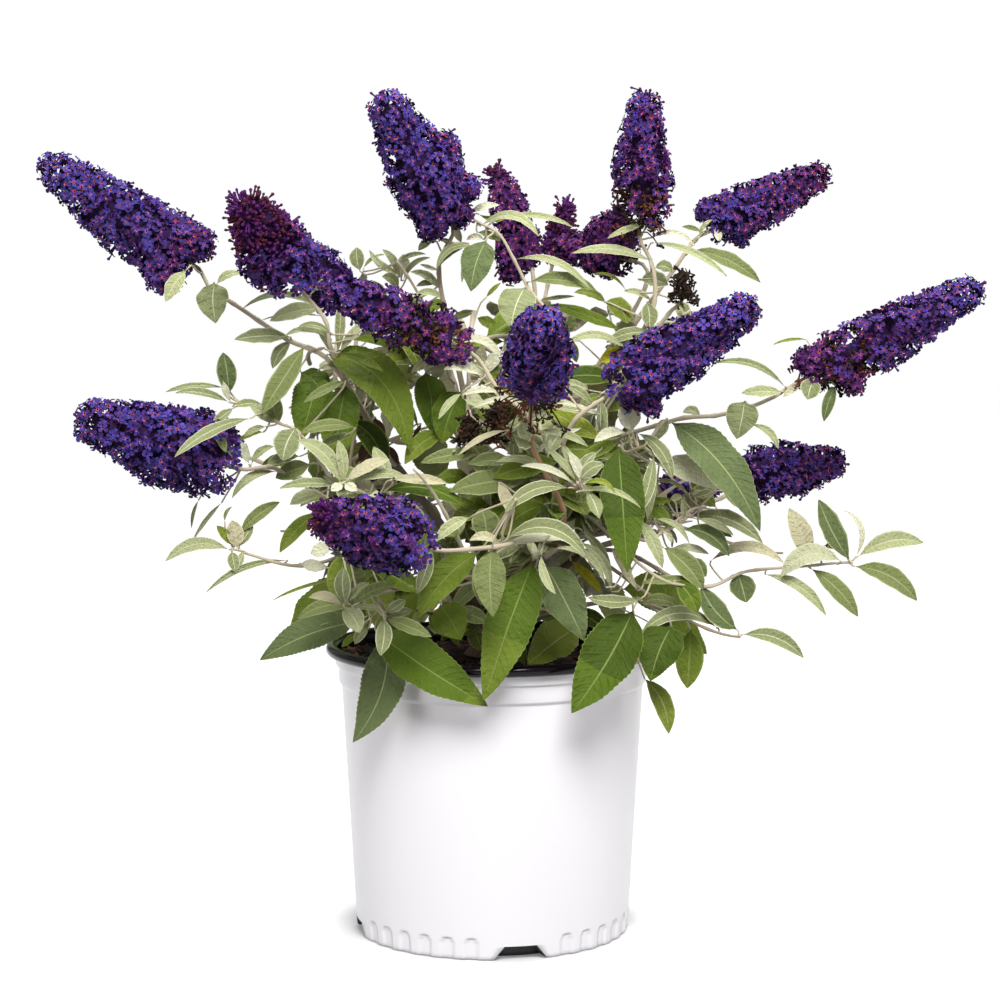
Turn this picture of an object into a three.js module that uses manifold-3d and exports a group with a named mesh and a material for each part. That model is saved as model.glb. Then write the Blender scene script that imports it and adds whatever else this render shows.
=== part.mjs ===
// A butterfly bush in full flower, growing in a round nursery pot.
// Millimetres, +Z up. The origin is the centre of the pot's underside, and -Y is the front.
import * as THREE from "three";
import { mergeVertices } from "three/addons/utils/BufferGeometryUtils.js";
import Module from "manifold-3d";

const wasm = await Module();
wasm.setup();

// ---- Driving dimensions -------------------------------------------------------------------
const CLEAR = 0.3; // gap between two pieces that touch on the real plant
const LEAF_CLEAR = 0.5; // a leaf keeps at least this far from the pieces of other nodes

const POT = {
  height: 242,
  footRadius: 114.3,
  bodyTop: 208, // height where the tapered body ends
  bodyRadius: 126.3, // radius there
  collarTop: 224.3, // height of the line round the collar
  collarRadius: 128.6,
  neckRadius: 131.4,
  beadRadius: 139.5, // rolled rim
  beadDepth: 8.5,
  wall: 2.4,
  floor: 3,
  sides: 36,
};
const FLUTES = { perTurn: 36, width: 10.5, height: 18, depth: 1.3 };
const NOTCHES = { count: 4, turn: -78.3, footWidth: 45, topWidth: 24, height: 11, depth: 15 };

const SOIL = { edge: 224, top: 230, flatRadius: 42, sides: 28 };

const TRUNK = { flareRadius: 25, radius: 15, topRadius: 10.5, height: 62, lean: 4, sides: 12 };
const TIERS = {
  low: { rise: 24, pitch: 42, radius: 4.6 },
  high: { rise: 44, pitch: 55, radius: 4.2 },
};

const STEM = {
  boughShare: 0.36, // share of the main shoot that is bare bough
  boughTip: 3.1,
  sideRadius: 2.2,
  tipRadius: 1.7, // under a spike
  leafyTip: 1.1,
  clumpRadius: 2.6,
  steps: 4,
};

const LEAVES = {
  firstGap: 14,
  gap: 46, // between one pair of leaves and the next
  lastGap: 10,
  longest: 92, // at the foot of a shoot
  shortest: 48, // at its end
  rosette: 40, // in the tuft at the end of a shoot with no flowers
  tuft: 5,
  slimness: 0.38, // width over length
  kite: 1.15, // a kite this much wider covers what the rounded leaf covers
  thickness: 0.04, // depth of the keel, as a share of the length
  pitch: 58, // degrees between a leaf and its stem
  droop: 0.42,
  sizes: [1, 0.75], // tried in turn where a leaf has little room
  outward: 1.2, // how far a leaf's upper side faces outwards, against upwards
  arch: 0.1, // rise of a big leaf's middle over its ends, as a share of its length
};

const BIG_ROOTS = [0.45, 0.6, 0.75, 0.85, 0.95]; // places along a stem where a big leaf may root

const SPIKE = { collar: 7, rings: 7, sides: 7, bumps: 0.13, stalk: 1.9 };

// Each bough leaves the trunk at its azimuth, in degrees from +X towards +Y, and carries one mass.
// A mass is a main shoot and the side shoots that fork from it. A flowering shoot ends at `foot`,
// where its spike begins, and the spike reaches `tip` with the given radius; side clusters reach
// the points in `lobes`. A leafy shoot ends at `tip`. A big leaf is its root, its tip and its width.
const BOUGHS = [
  {
    name: "left_high", tier: "high", azimuth: 170,
    shoots: [
      {
        spike: "far_left", foot: [-240, -20, 553], tip: [-365, -40, 640], radius: 29,
        lobes: [[-242, -35, 585], [-270, -45, 532]],
      },
      { spike: "left_budding", foot: [-155, -62, 540], tip: [-196, -112, 614], radius: 33 },
      { spike: "back_left_high", foot: [-130, 150, 525], tip: [-190, 240, 580], radius: 25 },
      { tip: [-115, 40, 545] },
      { tip: [-135, -70, 490] },
    ],
    bigLeaves: [
      [[-130, -50, 480], [-75, -110, 413], 38],
      [[-154, -20, 466], [-157, -45, 414], 32],
      [[-116, -20, 456], [-134, -50, 409], 37],
      [[-241, -30, 543], [-226, -35, 510], 28],
      [[-171, -30, 502], [-210, -35, 491], 20],
    ],
  },
  {
    name: "left_low", tier: "low", azimuth: 194,
    shoots: [
      { spike: "left", foot: [-206, -62, 392], tip: [-328, -112, 437], radius: 34 },
      { tip: [-230, -62, 331] },
      { tip: [-207, -50, 447] },
      { tip: [-190, 60, 390] },
    ],
    bigLeaves: [[[-196, -60, 431], [-245, -100, 410], 20]],
  },
  {
    name: "centre_high", tier: "high", azimuth: 232,
    shoots: [
      {
        spike: "crown", foot: [-32, -40, 588], tip: [-90, -90, 687], radius: 32,
        lobes: [[-38, -50, 660], [-20, -40, 625]],
      },
      { tip: [-80, 20, 560] },
      { tip: [-30, -120, 410] },
      { tip: [-60, -50, 520] },
    ],
    bigLeaves: [
      [[4, -50, 576], [-15, -70, 538], 27],
      [[25, -60, 539], [15, -85, 508], 28],
      [[-2, -20, 597], [63, -30, 589], 15],
      [[-55, -20, 466], [-50, -40, 424], 29],
    ],
  },
  {
    name: "front_left", tier: "low", azimuth: 250,
    shoots: [
      { spike: "front_left", foot: [-48, -190, 341], tip: [-130, -250, 373], radius: 30 },
      { tip: [-118, -150, 388] },
      { tip: [-114, -150, 298] },
      { tip: [-60, -170, 400] },
    ],
    bigLeaves: [
      [[-1, -180, 337], [1, -195, 291], 25],
      [[-11, -150, 333], [-58, -165, 285], 25],
    ],
  },
  {
    name: "front", tier: "high", azimuth: 288,
    shoots: [
      { spike: "front", foot: [31, -172, 452], tip: [37, -262, 518], radius: 30 },
      { spike: "front_reclining", foot: [-17, -92, 487], tip: [-132, -140, 543], radius: 24 },
      { tip: [18, -195, 378] },
      { tip: [74, -170, 384] },
    ],
    bigLeaves: [[[98, -130, 417], [105, -160, 321], 37]],
  },
  {
    name: "right_front", tier: "low", azimuth: 312,
    shoots: [
      {
        spike: "right_front", foot: [88, -132, 453], tip: [203, -152, 530], radius: 28,
        lobes: [[130, -140, 440]],
      },
      { tip: [200, -85, 258] },
      { tip: [120, -125, 415] },
      { tip: [150, -125, 305] },
    ],
    bigLeaves: [[[143, -90, 429], [211, -120, 348], 41]],
  },
  {
    name: "right_high", tier: "high", azimuth: 345,
    shoots: [
      { spike: "right_top", foot: [126, -10, 581], tip: [125, -22, 697], radius: 27 },
      {
        spike: "far_right", foot: [251, -40, 465], tip: [393, -60, 537], radius: 25,
        lobes: [[255, -60, 500], [275, -50, 460]],
      },
      { tip: [160, -60, 520] },
    ],
    bigLeaves: [
      [[126, -10, 555], [66, -20, 562], 17],
      [[136, 0, 565], [189, -20, 546], 15],
      [[196, -60, 445], [197, -70, 418], 26],
    ],
  },
  {
    name: "right_low", tier: "low", azimuth: 8,
    shoots: [
      { spike: "right", foot: [215, 42, 375], tip: [304, 62, 387], radius: 26 },
      { tip: [316, -46, 314] },
      { tip: [180, 15, 385] },
      { tip: [250, 60, 310] },
    ],
    bigLeaves: [],
  },
  {
    name: "back_right_high", tier: "high", azimuth: 40,
    shoots: [
      { spike: "right_high", foot: [178, 60, 588], tip: [287, 82, 641], radius: 24 },
      { spike: "back_right_high", foot: [135, 190, 468], tip: [225, 285, 512], radius: 25 },
      { spike: "middle_high", foot: [122, 62, 560], tip: [52, 96, 575], radius: 20 },
      { tip: [150, 110, 450] },
    ],
    bigLeaves: [[[167, 40, 569], [223, 30, 543], 23]],
  },
  {
    name: "back_high", tier: "high", azimuth: 95,
    shoots: [
      { spike: "top_middle", foot: [30, 66, 578], tip: [2, 84, 644], radius: 20 },
      { spike: "back_high", foot: [28, 190, 448], tip: [42, 305, 502], radius: 26 },
      { spike: "top_budding", foot: [52, 122, 560], tip: [64, 146, 620], radius: 16 },
      { tip: [-45, 130, 500] },
    ],
    bigLeaves: [],
  },
  {
    name: "back_right_low", tier: "low", azimuth: 68,
    shoots: [
      { spike: "back_right", foot: [150, 190, 350], tip: [228, 285, 372], radius: 26 },
      { tip: [40, 240, 320] },
      { tip: [190, 140, 340] },
      { tip: [70, 170, 430] },
    ],
    bigLeaves: [
      [[60, 150, 400], [90, 215, 345], 40],
      [[20, 170, 350], [-5, 235, 290], 38],
    ],
  },
  {
    name: "back_left_low", tier: "low", azimuth: 128,
    shoots: [
      { spike: "back_left", foot: [-222, 110, 392], tip: [-325, 165, 425], radius: 26 },
      { spike: "back_left_low", foot: [-95, 205, 350], tip: [-140, 310, 380], radius: 26 },
      { tip: [-190, 150, 320] },
      { tip: [-110, 130, 450] },
      { tip: [-30, 180, 420] },
    ],
    bigLeaves: [
      [[-60, 150, 400], [-45, 225, 350], 40],
      [[-120, 120, 370], [-160, 170, 310], 38],
    ],
  },
];

// Short shoots from the foot of the trunk carry big old leaves that hang over the rim.
const CLUMPS = [
  {
    name: "basal_left", azimuth: 222, tip: [-88, -80, 284],
    bigLeaves: [
      [[-94, -98, 268], [-110, -107, 172], 39],
      [[-113, -85, 276], [-190, -76, 240], 30],
      [[-79, -108, 270], [-3, -152, 213], 44],
      [[-100, -50, 285], [-150, -20, 275], 34],
    ],
  },
  {
    name: "basal_front", azimuth: 280, tip: [30, -125, 330],
    bigLeaves: [
      [[27, -140, 328], [-7, -162, 219], 43],
      [[42, -115, 322], [71, -140, 264], 34],
      [[60, -60, 280], [26, -100, 246], 36],
    ],
  },
  {
    name: "basal_right", azimuth: 318, tip: [118, -90, 290],
    bigLeaves: [
      [[111, -120, 286], [62, -155, 206], 46],
      [[143, -100, 276], [126, -127, 228], 36],
      [[150, -60, 268], [164, -78, 214], 24],
      [[122, -84, 250], [146, -94, 181], 20],
      [[130, -30, 262], [178, -25, 235], 34],
    ],
  },
  {
    name: "basal_back_right", azimuth: 32, tip: [85, 75, 292],
    bigLeaves: [
      [[112, 50, 280], [175, 85, 240], 40],
      [[75, 105, 285], [110, 160, 225], 42],
      [[30, 115, 285], [15, 175, 235], 38],
    ],
  },
  {
    name: "basal_back_left", azimuth: 140, tip: [-85, 70, 292],
    bigLeaves: [
      [[-40, 115, 285], [-70, 165, 225], 42],
      [[-90, 85, 290], [-140, 120, 235], 40],
      [[-110, 30, 285], [-175, 45, 240], 38],
    ],
  },
];

// ---- Materials ----------------------------------------------------------------------------
const material = (color, roughness) =>
  new THREE.MeshStandardMaterial({ color, roughness, metalness: 0 });
const POT_PLASTIC = material("#f1f0f4", 0.35);
const SOIL_MIX = material("#2b2018", 0.95);
const BARK = material("#8a7360", 0.85);
const FOLIAGE = material("#7f9468", 0.7);
const BLOSSOM = material("#3d2a86", 0.6);

// ---- Shared tools -------------------------------------------------------------------------
const UP = new THREE.Vector3(0, 0, 1);
const radians = THREE.MathUtils.degToRad;
const mix = THREE.MathUtils.lerp;
const point = (list) => new THREE.Vector3(...list);

// The seeded rule: the same number from 0 to 1 for the same seed, every time.
function chance(seed) {
  const value = Math.sin(seed * 12.9898 + 4.1414) * 43758.5453;
  return value - Math.floor(value);
}

function heading(azimuth, pitch) {
  const [a, p] = [radians(azimuth), radians(pitch)];
  return new THREE.Vector3(Math.cos(a) * Math.cos(p), Math.sin(a) * Math.cos(p), Math.sin(p));
}

// A closed three.js geometry as a solid that can be joined and cut.
function solid(geometry) {
  const bare = new THREE.BufferGeometry().setAttribute("position", geometry.getAttribute("position"));
  if (geometry.index) bare.setIndex(geometry.index);
  const merged = mergeVertices(bare, 1e-4);
  return new wasm.Manifold(
    new wasm.Mesh({
      numProp: 3,
      vertProperties: new Float32Array(merged.attributes.position.array),
      triVerts: new Uint32Array(merged.index.array),
    }),
  );
}

// Joins solids and keeps the one body that holds together: scraps and sealed hollows are dropped.
function fuse(solids) {
  const bodies = wasm.Manifold.union(solids).decompose();
  return bodies.reduce((best, body) => (body.volume() > best.volume() ? body : best));
}

function meshOf(name, body, look) {
  const made = body.getMesh();
  const stride = made.numProp;
  const positions = new Float32Array(made.numVert * 3);
  for (let i = 0; i < made.numVert; i++)
    positions.set(made.vertProperties.subarray(i * stride, i * stride + 3), i * 3);
  const geometry = new THREE.BufferGeometry();
  geometry.setAttribute("position", new THREE.BufferAttribute(positions, 3));
  geometry.setIndex(new THREE.BufferAttribute(made.triVerts, 1));
  geometry.computeVertexNormals();
  const mesh = new THREE.Mesh(geometry, look);
  mesh.name = name;
  return mesh;
}

// Bends a geometry that was built along +Y, from 0 to its full length, onto a curve.
function bendAlong(geometry, curve, length, from, to) {
  const places = geometry.getAttribute("position");
  for (let i = 0; i < places.count; i++) {
    const t = THREE.MathUtils.clamp(mix(from, to, places.getY(i) / length), 0, 1);
    const along = curve.getTangentAt(t);
    const side = new THREE.Vector3().crossVectors(along, sideHint(along)).normalize();
    const over = new THREE.Vector3().crossVectors(side, along);
    const p = curve
      .getPointAt(t)
      .addScaledVector(side, places.getX(i))
      .addScaledVector(over, places.getZ(i));
    places.setXYZ(i, p.x, p.y, p.z);
  }
  return geometry;
}

// A fixed direction that no limb runs along, so that a limb's section doesn't twist.
function sideHint(along) {
  return Math.abs(along.z) > 0.95 ? new THREE.Vector3(1, 0, 0) : UP;
}

// A tapering limb along part of a curve.
function limb(curve, from, to, startRadius, endRadius, sides, steps) {
  const length = curve.getLength() * (to - from);
  const tube = new THREE.CylinderGeometry(endRadius, startRadius, length, sides, steps);
  tube.translate(0, length / 2, 0);
  return solid(bendAlong(tube, curve, length, from, to));
}

// ---- Pot, soil and trunk ------------------------------------------------------------------
function turned(profile, sides) {
  const points = profile.map(([radius, height]) => new THREE.Vector2(radius, height));
  return new THREE.LatheGeometry(points, sides).rotateX(Math.PI / 2);
}

// A flat outline, drawn in the wall's own plane and pushed through it at that azimuth.
function throughWall(outline, azimuth, radius, depth) {
  const shape = new THREE.Shape(outline.map(([x, y]) => new THREE.Vector2(x, y)));
  const block = new THREE.ExtrudeGeometry(shape, { depth, bevelEnabled: false });
  block.rotateX(Math.PI / 2);
  block.translate(0, radius, 0);
  block.rotateZ(radians(azimuth - 90));
  return solid(block);
}

function potBody() {
  const { wall, floor, height } = POT;
  const beadFoot = height - POT.beadDepth;
  const profile = [
    [0, 0],
    [POT.footRadius - 1.5, 0],
    [POT.footRadius, 1.5],
    [POT.bodyRadius, POT.bodyTop],
    [POT.collarRadius, POT.bodyTop + 2.6],
    [POT.collarRadius + 0.6, POT.collarTop],
    [POT.neckRadius, POT.collarTop + 0.8],
    [POT.neckRadius + 1, beadFoot],
    [POT.beadRadius, beadFoot + 1],
    [POT.beadRadius, height - 2.5],
    [POT.beadRadius - 3, height],
    [POT.neckRadius - wall + 1, height],
    [POT.bodyRadius - wall, POT.bodyTop],
    [POT.footRadius - wall, floor],
    [0, floor],
  ];
  const notch = [
    [-NOTCHES.footWidth / 2, -1],
    [NOTCHES.footWidth / 2, -1],
    [NOTCHES.footWidth / 2, 0.5],
    [NOTCHES.topWidth / 2, NOTCHES.height],
    [-NOTCHES.topWidth / 2, NOTCHES.height],
    [-NOTCHES.footWidth / 2, 0.5],
  ];
  const flute = [
    [-FLUTES.width / 2, -1],
    [FLUTES.width / 2, -1],
    [FLUTES.width / 2, FLUTES.height * 0.75],
    [0, FLUTES.height],
    [-FLUTES.width / 2, FLUTES.height * 0.75],
  ];
  const cuts = [];
  const perQuarter = FLUTES.perTurn / NOTCHES.count;
  for (let i = 0; i < FLUTES.perTurn; i++) {
    const azimuth = NOTCHES.turn + (i * 360) / FLUTES.perTurn;
    const place = i % perQuarter;
    if (place === 0) cuts.push(throughWall(notch, azimuth, POT.footRadius + 3, NOTCHES.depth));
    if (place > 1 && place < perQuarter - 1)
      cuts.push(throughWall(flute, azimuth, POT.footRadius + 3, FLUTES.depth + 3));
  }
  // Turned so that each flute is cut in the middle of a facet.
  const facet = 360 / POT.sides;
  const shell = turned(profile, POT.sides).rotateZ(radians(NOTCHES.turn - facet / 2));
  return solid(shell).subtract(wasm.Manifold.union(cuts));
}

// The pot's filling, a little proud round the trunk.
function soilBody() {
  const inner = (z) =>
    mix(POT.footRadius, POT.bodyRadius, z / POT.bodyTop) - POT.wall - CLEAR - 0.6;
  const low = POT.floor + CLEAR;
  const filling = turned(
    [
      [0, low],
      [inner(low), low],
      [inner(POT.bodyTop), POT.bodyTop],
      [inner(SOIL.edge) + 0.4, SOIL.edge],
      [SOIL.flatRadius * 2, SOIL.edge + 2],
      [SOIL.flatRadius, SOIL.top],
      [0, SOIL.top],
    ],
    SOIL.sides,
  );
  return solid(filling);
}

const GROUND = SOIL.top + CLEAR;

// The short woody foot, from its root flare to the fork. grow makes it fatter all round.
function trunkBody(grow = 0) {
  const { flareRadius, radius, topRadius, height } = TRUNK;
  const trunk = turned(
    [
      [0, -grow],
      [flareRadius + grow, -grow],
      [flareRadius * 0.8 + grow, height * 0.08],
      [radius + grow, height * 0.3],
      [mix(radius, topRadius, 0.7) + grow, height * 0.8],
      [topRadius * 0.8 + grow, height + grow],
      [0, height + grow],
    ],
    TRUNK.sides,
  );
  const places = trunk.getAttribute("position");
  for (let i = 0; i < places.count; i++) {
    const [x, y, z] = [places.getX(i), places.getY(i), places.getZ(i)];
    places.setXYZ(i, x + trunkLean(z), y, z + GROUND);
  }
  return solid(trunk);
}

function trunkLean(rise) {
  return (TRUNK.lean * rise) / TRUNK.height;
}

// ---- Stems --------------------------------------------------------------------------------
// A smooth curve that leaves `start` in one direction and comes to `end` in another.
function sweep(start, startWay, end, endWay) {
  const reach = start.distanceTo(end);
  return new THREE.CubicBezierCurve3(
    start,
    start.clone().addScaledVector(startWay, reach * 0.38),
    end.clone().addScaledVector(endWay, -reach * 0.3),
    end,
  );
}

function endOf(shoot) {
  return point(shoot.spike ? shoot.foot : shoot.tip);
}

// The way a shoot points where it ends: along its spike, or onwards and a little up.
function endWay(shoot, start) {
  if (shoot.spike) return point(shoot.tip).sub(point(shoot.foot)).normalize();
  const on = point(shoot.tip).sub(start);
  on.z = Math.max(on.z, 0) * 0.5;
  return on.normalize();
}

// The middle of a limb, whose straight steps cut the corners of its curve. The main shoot's limb
// begins at the bough's tip, and a side shoot's at its fork.
function limbPoint({ curve, from }, t) {
  const step = (1 - from) / STEM.steps;
  const k = Math.min(Math.floor((t - from) / step), STEM.steps - 1);
  const [a, b] = [k, k + 1].map((i) => curve.getPointAt(Math.min(from + i * step, 1)));
  return a.lerp(b, (t - from) / step - k);
}

// The shoots of a bough. The first runs from the trunk, and the others fork from it.
function shootsOf(bough) {
  const tier = TIERS[bough.tier];
  const start = new THREE.Vector3(trunkLean(tier.rise), 0, GROUND + tier.rise);
  const [main, ...others] = bough.shoots;
  const trunkWay = heading(bough.azimuth, tier.pitch);
  const curve = sweep(start, trunkWay, endOf(main), endWay(main, start));
  const first = { curve, from: STEM.boughShare + CLEAR / curve.getLength(), shoot: main };
  const forked = others.map((shoot, i) => {
    const at = STEM.boughShare + 0.05 + 0.09 * i;
    const fork = limbPoint(first, at);
    const onward = endOf(shoot).sub(fork).normalize();
    const way = curve.getTangentAt(at).lerp(onward, 0.6).normalize();
    return { curve: sweep(fork, way, endOf(shoot), endWay(shoot, fork)), from: 0, shoot };
  });
  return [first, ...forked];
}

// ---- Leaves -------------------------------------------------------------------------------
// Which way the upper side of a leaf faces: up, and out from the middle of the bush.
function facing(place) {
  return new THREE.Vector3(place.x, place.y, 0).normalize().multiplyScalar(LEAVES.outward).add(UP);
}

// A leaf is a keeled blade: its two edges and its keel meet at the root and at the tip, and it is
// bent at its middle.
function leafSolid({ root, middle, tip, width }, grow = 0) {
  const length = root.distanceTo(tip);
  const along = tip.clone().sub(root).normalize();
  const side = new THREE.Vector3().crossVectors(along, facing(root)).normalize();
  const normal = new THREE.Vector3().crossVectors(side, along);
  const halfWidth = (width * LEAVES.kite) / 2 + grow;
  const keel = length * LEAVES.thickness + grow;
  const corner = (x, z) =>
    middle.clone().addScaledVector(side, x * halfWidth).addScaledVector(normal, z);
  const corners = [
    root,
    corner(1, grow),
    corner(-1, grow),
    corner(0, -keel),
    tip.clone().addScaledVector(along, grow),
  ];
  const faces = [0, 1, 2, 0, 2, 3, 0, 3, 1, 4, 2, 1, 4, 3, 2, 4, 1, 3];
  const shape = new THREE.BufferGeometry().setFromPoints(corners);
  return solid(shape.setIndex(faces));
}

// A leaf that sets out one way from its root and droops towards its tip.
function leafFrom(root, way, length, droop) {
  const onward = way.clone().addScaledVector(UP, -droop * 0.35).normalize();
  const hang = way.clone().addScaledVector(UP, -droop).normalize();
  const middle = root.clone().addScaledVector(onward, length * 0.42);
  const tip = middle.clone().addScaledVector(hang, length * 0.58);
  return { root, middle, tip, width: length * LEAVES.slimness };
}

// A big leaf, arched between its two ends. Its stalk is drawn out to the nearest of the stems.
function bigLeaf([from, to, width], stems) {
  const [start, tip] = [point(from), point(to)];
  const along = tip.clone().sub(start);
  const lift = facing(start).projectOnPlane(along.clone().normalize()).normalize();
  const middle = start.clone().lerp(tip, 0.42).addScaledVector(lift, along.length() * LEAVES.arch);
  const roots = stems.flatMap((stem) => BIG_ROOTS.map((t) => limbPoint(stem, t)));
  const root = roots.reduce((a, b) => (a.distanceTo(start) < b.distanceTo(start) ? a : b));
  return { root, middle, tip, width };
}

// The pairs of leaves along a shoot, each pair turned a quarter from the last.
function leavesAlong(stem, seed) {
  const leaves = [];
  const { curve, from } = stem;
  const length = curve.getLength();
  const first = from * length + LEAVES.firstGap;
  for (let s = first, k = 0; s < length - LEAVES.lastGap; s += LEAVES.gap, k++) {
    const t = s / length;
    const along = curve.getTangentAt(t);
    const level = new THREE.Vector3().crossVectors(along, sideHint(along)).normalize();
    const size = mix(LEAVES.longest, LEAVES.shortest, t) * mix(0.85, 1.12, chance(seed + k * 7.3));
    for (const half of [0, 1]) {
      const turn = radians(90 * k + 180 * half + 30 * chance(seed + k + half * 3.7));
      const out = level.clone().applyAxisAngle(along, turn);
      const pitch = radians(LEAVES.pitch);
      const way = out.multiplyScalar(Math.sin(pitch)).addScaledVector(along, Math.cos(pitch));
      leaves.push(leafFrom(limbPoint(stem, t), way.normalize(), size, LEAVES.droop));
    }
  }
  return leaves;
}

// The tuft of young leaves at the end of a shoot with no flowers.
function rosette(stem, seed) {
  const along = stem.curve.getTangentAt(1);
  const level = new THREE.Vector3().crossVectors(along, sideHint(along)).normalize();
  return Array.from({ length: LEAVES.tuft }, (_, i) => {
    const turn = radians((360 / LEAVES.tuft) * i + 40 * chance(seed + i));
    const way = level.clone().applyAxisAngle(along, turn).multiplyScalar(0.62).add(along);
    const size = LEAVES.rosette * mix(0.8, 1.15, chance(seed + i * 5.1));
    return leafFrom(limbPoint(stem, 0.98), way.normalize(), size, LEAVES.droop / 2);
  });
}

// ---- Flower spikes ------------------------------------------------------------------------
// The outline of a spike: how far its blossom stands from the axis, as a share of its radius.
function spikeShare(t) {
  if (t < 0.14) return mix(0.62, 1, t / 0.14);
  if (t < 0.45) return 1;
  if (t < 0.94) return mix(1, 0.52, (t - 0.45) / 0.49);
  return mix(0.52, 0.25, (t - 0.94) / 0.06);
}

// A closed cone of blossom from one point to another, with the bumps of its whorls.
function blossomCone(foot, tip, radius, rings, sides, seed) {
  const length = foot.distanceTo(tip);
  const profile = [[0, 0]];
  for (let i = 0; i <= rings; i++) profile.push([spikeShare(i / rings) * radius, (i / rings) * length]);
  profile.push([0, length]);
  const cone = new THREE.LatheGeometry(
    profile.map(([r, y]) => new THREE.Vector2(r, y)),
    sides,
  );
  const places = cone.getAttribute("position");
  for (let i = 0; i < places.count; i++) {
    const ring = i % profile.length;
    const side = Math.floor(i / profile.length) % sides;
    const whorl = (ring + side) % 2 ? SPIKE.bumps : -SPIKE.bumps;
    const swell = 1 + whorl * mix(0.4, 1.2, chance(seed + ring * sides + side));
    places.setX(i, places.getX(i) * swell);
    places.setZ(i, places.getZ(i) * swell);
  }
  return solid(bendAlong(cone, new THREE.LineCurve3(foot, tip), length, 0, 1));
}

// A stalk with its dense cone of blossom, and its side clusters if it has any.
function spikeSolid(shoot, seed) {
  const [foot, tip] = [point(shoot.foot), point(shoot.tip)];
  const length = foot.distanceTo(tip);
  const collar = foot.clone().lerp(tip, SPIKE.collar / length);
  const line = new THREE.LineCurve3(foot, tip);
  const parts = [
    limb(line, CLEAR / length, 0.25, SPIKE.stalk, SPIKE.stalk, 4, 1),
    blossomCone(collar, tip, shoot.radius, SPIKE.rings, SPIKE.sides, seed),
  ];
  for (const lobe of shoot.lobes ?? []) {
    const end = point(lobe);
    const root = line.getPoint(0.15 + 0.2 * chance(seed + lobe[0]));
    parts.push(blossomCone(root, end, root.distanceTo(end) * 0.42, 2, 5, seed + lobe[2]));
  }
  return fuse(parts);
}

// ---- The plant ----------------------------------------------------------------------------
// Every piece already placed, with the node it belongs to, so that a leaf can keep clear of the rest.
const placed = [];

function place(node, body) {
  placed.push({ node, body, box: body.boundingBox() });
  return body;
}

function boxesMeet(a, b) {
  return [0, 1, 2].every((i) => a.min[i] < b.max[i] && b.min[i] < a.max[i]);
}

// A leaf may root in its own mass, but its blade keeps clear of that mass and of every other node.
function keepsClear(node, leaf) {
  const whole = leafSolid(leaf, LEAF_CLEAR);
  const blade = leafSolid({ ...leaf, root: leaf.root.clone().lerp(leaf.middle, 0.6) });
  const box = whole.boundingBox();
  return placed.every((other) => {
    if (!boxesMeet(box, other.box)) return true;
    return (other.node === node ? blade : whole).intersect(other.body).isEmpty();
  });
}

// The same leaf at another size.
function resized(leaf, size) {
  const { root, middle, tip, width } = leaf;
  return {
    root,
    middle: root.clone().lerp(middle, size),
    tip: root.clone().lerp(tip, size),
    width: width * size,
  };
}

// Adds each leaf to a mass, smaller where there is less room, or not at all where there is none.
function addLeaves(node, parts, leaves) {
  for (const leaf of leaves) {
    const fits = LEAVES.sizes.map((size) => resized(leaf, size)).find((one) => keepsClear(node, one));
    if (fits) parts.push(place(node, leafSolid(fits)));
  }
}

function stemSolid({ curve, from, shoot }) {
  const start = from > 0 ? STEM.boughTip : STEM.sideRadius;
  const end = shoot.spike ? STEM.tipRadius : STEM.leafyTip;
  return limb(curve, from, 1, start, end, 3, STEM.steps);
}

const bush = new THREE.Group();
const addNode = (name, body, look) => bush.add(meshOf(name, body, look));

addNode("pot", place("pot", potBody()), POT_PLASTIC);
addNode("soil", place("soil", soilBody()), SOIL_MIX);
addNode("trunk", place("trunk", trunkBody()), BARK);
const trunkRoom = trunkBody(CLEAR);

const shrub = BOUGHS.map((bough) => ({
  bough,
  node: "leaves_" + bough.name,
  stems: shootsOf(bough),
  parts: [],
}));

for (const { bough, stems } of shrub) {
  const node = "bough_" + bough.name;
  const [from, to] = [TIERS[bough.tier].radius, STEM.boughTip];
  const tube = limb(stems[0].curve, 0, STEM.boughShare, from, to, 7, 4);
  addNode(node, place(node, fuse([tube.subtract(trunkRoom)])), BARK);
}

shrub.forEach(({ bough }, b) =>
  bough.shoots.forEach((shoot, i) => {
    if (!shoot.spike) return;
    const node = "spike_" + shoot.spike;
    addNode(node, place(node, spikeSolid(shoot, b * 17 + i * 5)), BLOSSOM);
  }),
);

for (const { node, stems, parts } of shrub)
  for (const stem of stems) parts.push(place(node, stemSolid(stem)));

const clumps = CLUMPS.map((clump) => {
  const start = heading(clump.azimuth, 0).multiplyScalar(TRUNK.radius);
  start.z = GROUND + TRUNK.height * 0.22;
  const end = point(clump.tip);
  const curve = sweep(start, heading(clump.azimuth, 40), end, heading(clump.azimuth, 10));
  const node = "leaves_" + clump.name;
  const tube = limb(curve, 0, 1, STEM.clumpRadius, STEM.leafyTip, 3, STEM.steps);
  const parts = [place(node, fuse([tube.subtract(trunkRoom)]))];
  return { bough: clump, node, stems: [{ curve, from: 0, shoot: clump }], parts };
});

for (const { bough, node, stems, parts } of [...clumps, ...shrub])
  addLeaves(
    node,
    parts,
    bough.bigLeaves.map((leaf) => bigLeaf(leaf, stems)),
  );

// Leaves are dealt out shoot by shoot, so that no mass crowds out its neighbours.
const mostShoots = Math.max(...BOUGHS.map((bough) => bough.shoots.length));
for (let i = 0; i < mostShoots; i++)
  shrub.forEach(({ node, stems, parts }, b) => {
    const stem = stems[i];
    if (!stem) return;
    const seed = b * 31 + i * 11;
    if (!stem.shoot.spike) addLeaves(node, parts, rosette(stem, seed));
    addLeaves(node, parts, leavesAlong(stem, seed));
  });

for (const { node, parts } of [...clumps, ...shrub]) addNode(node, fuse(parts), FOLIAGE);

export default bush;
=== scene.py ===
import math

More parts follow.
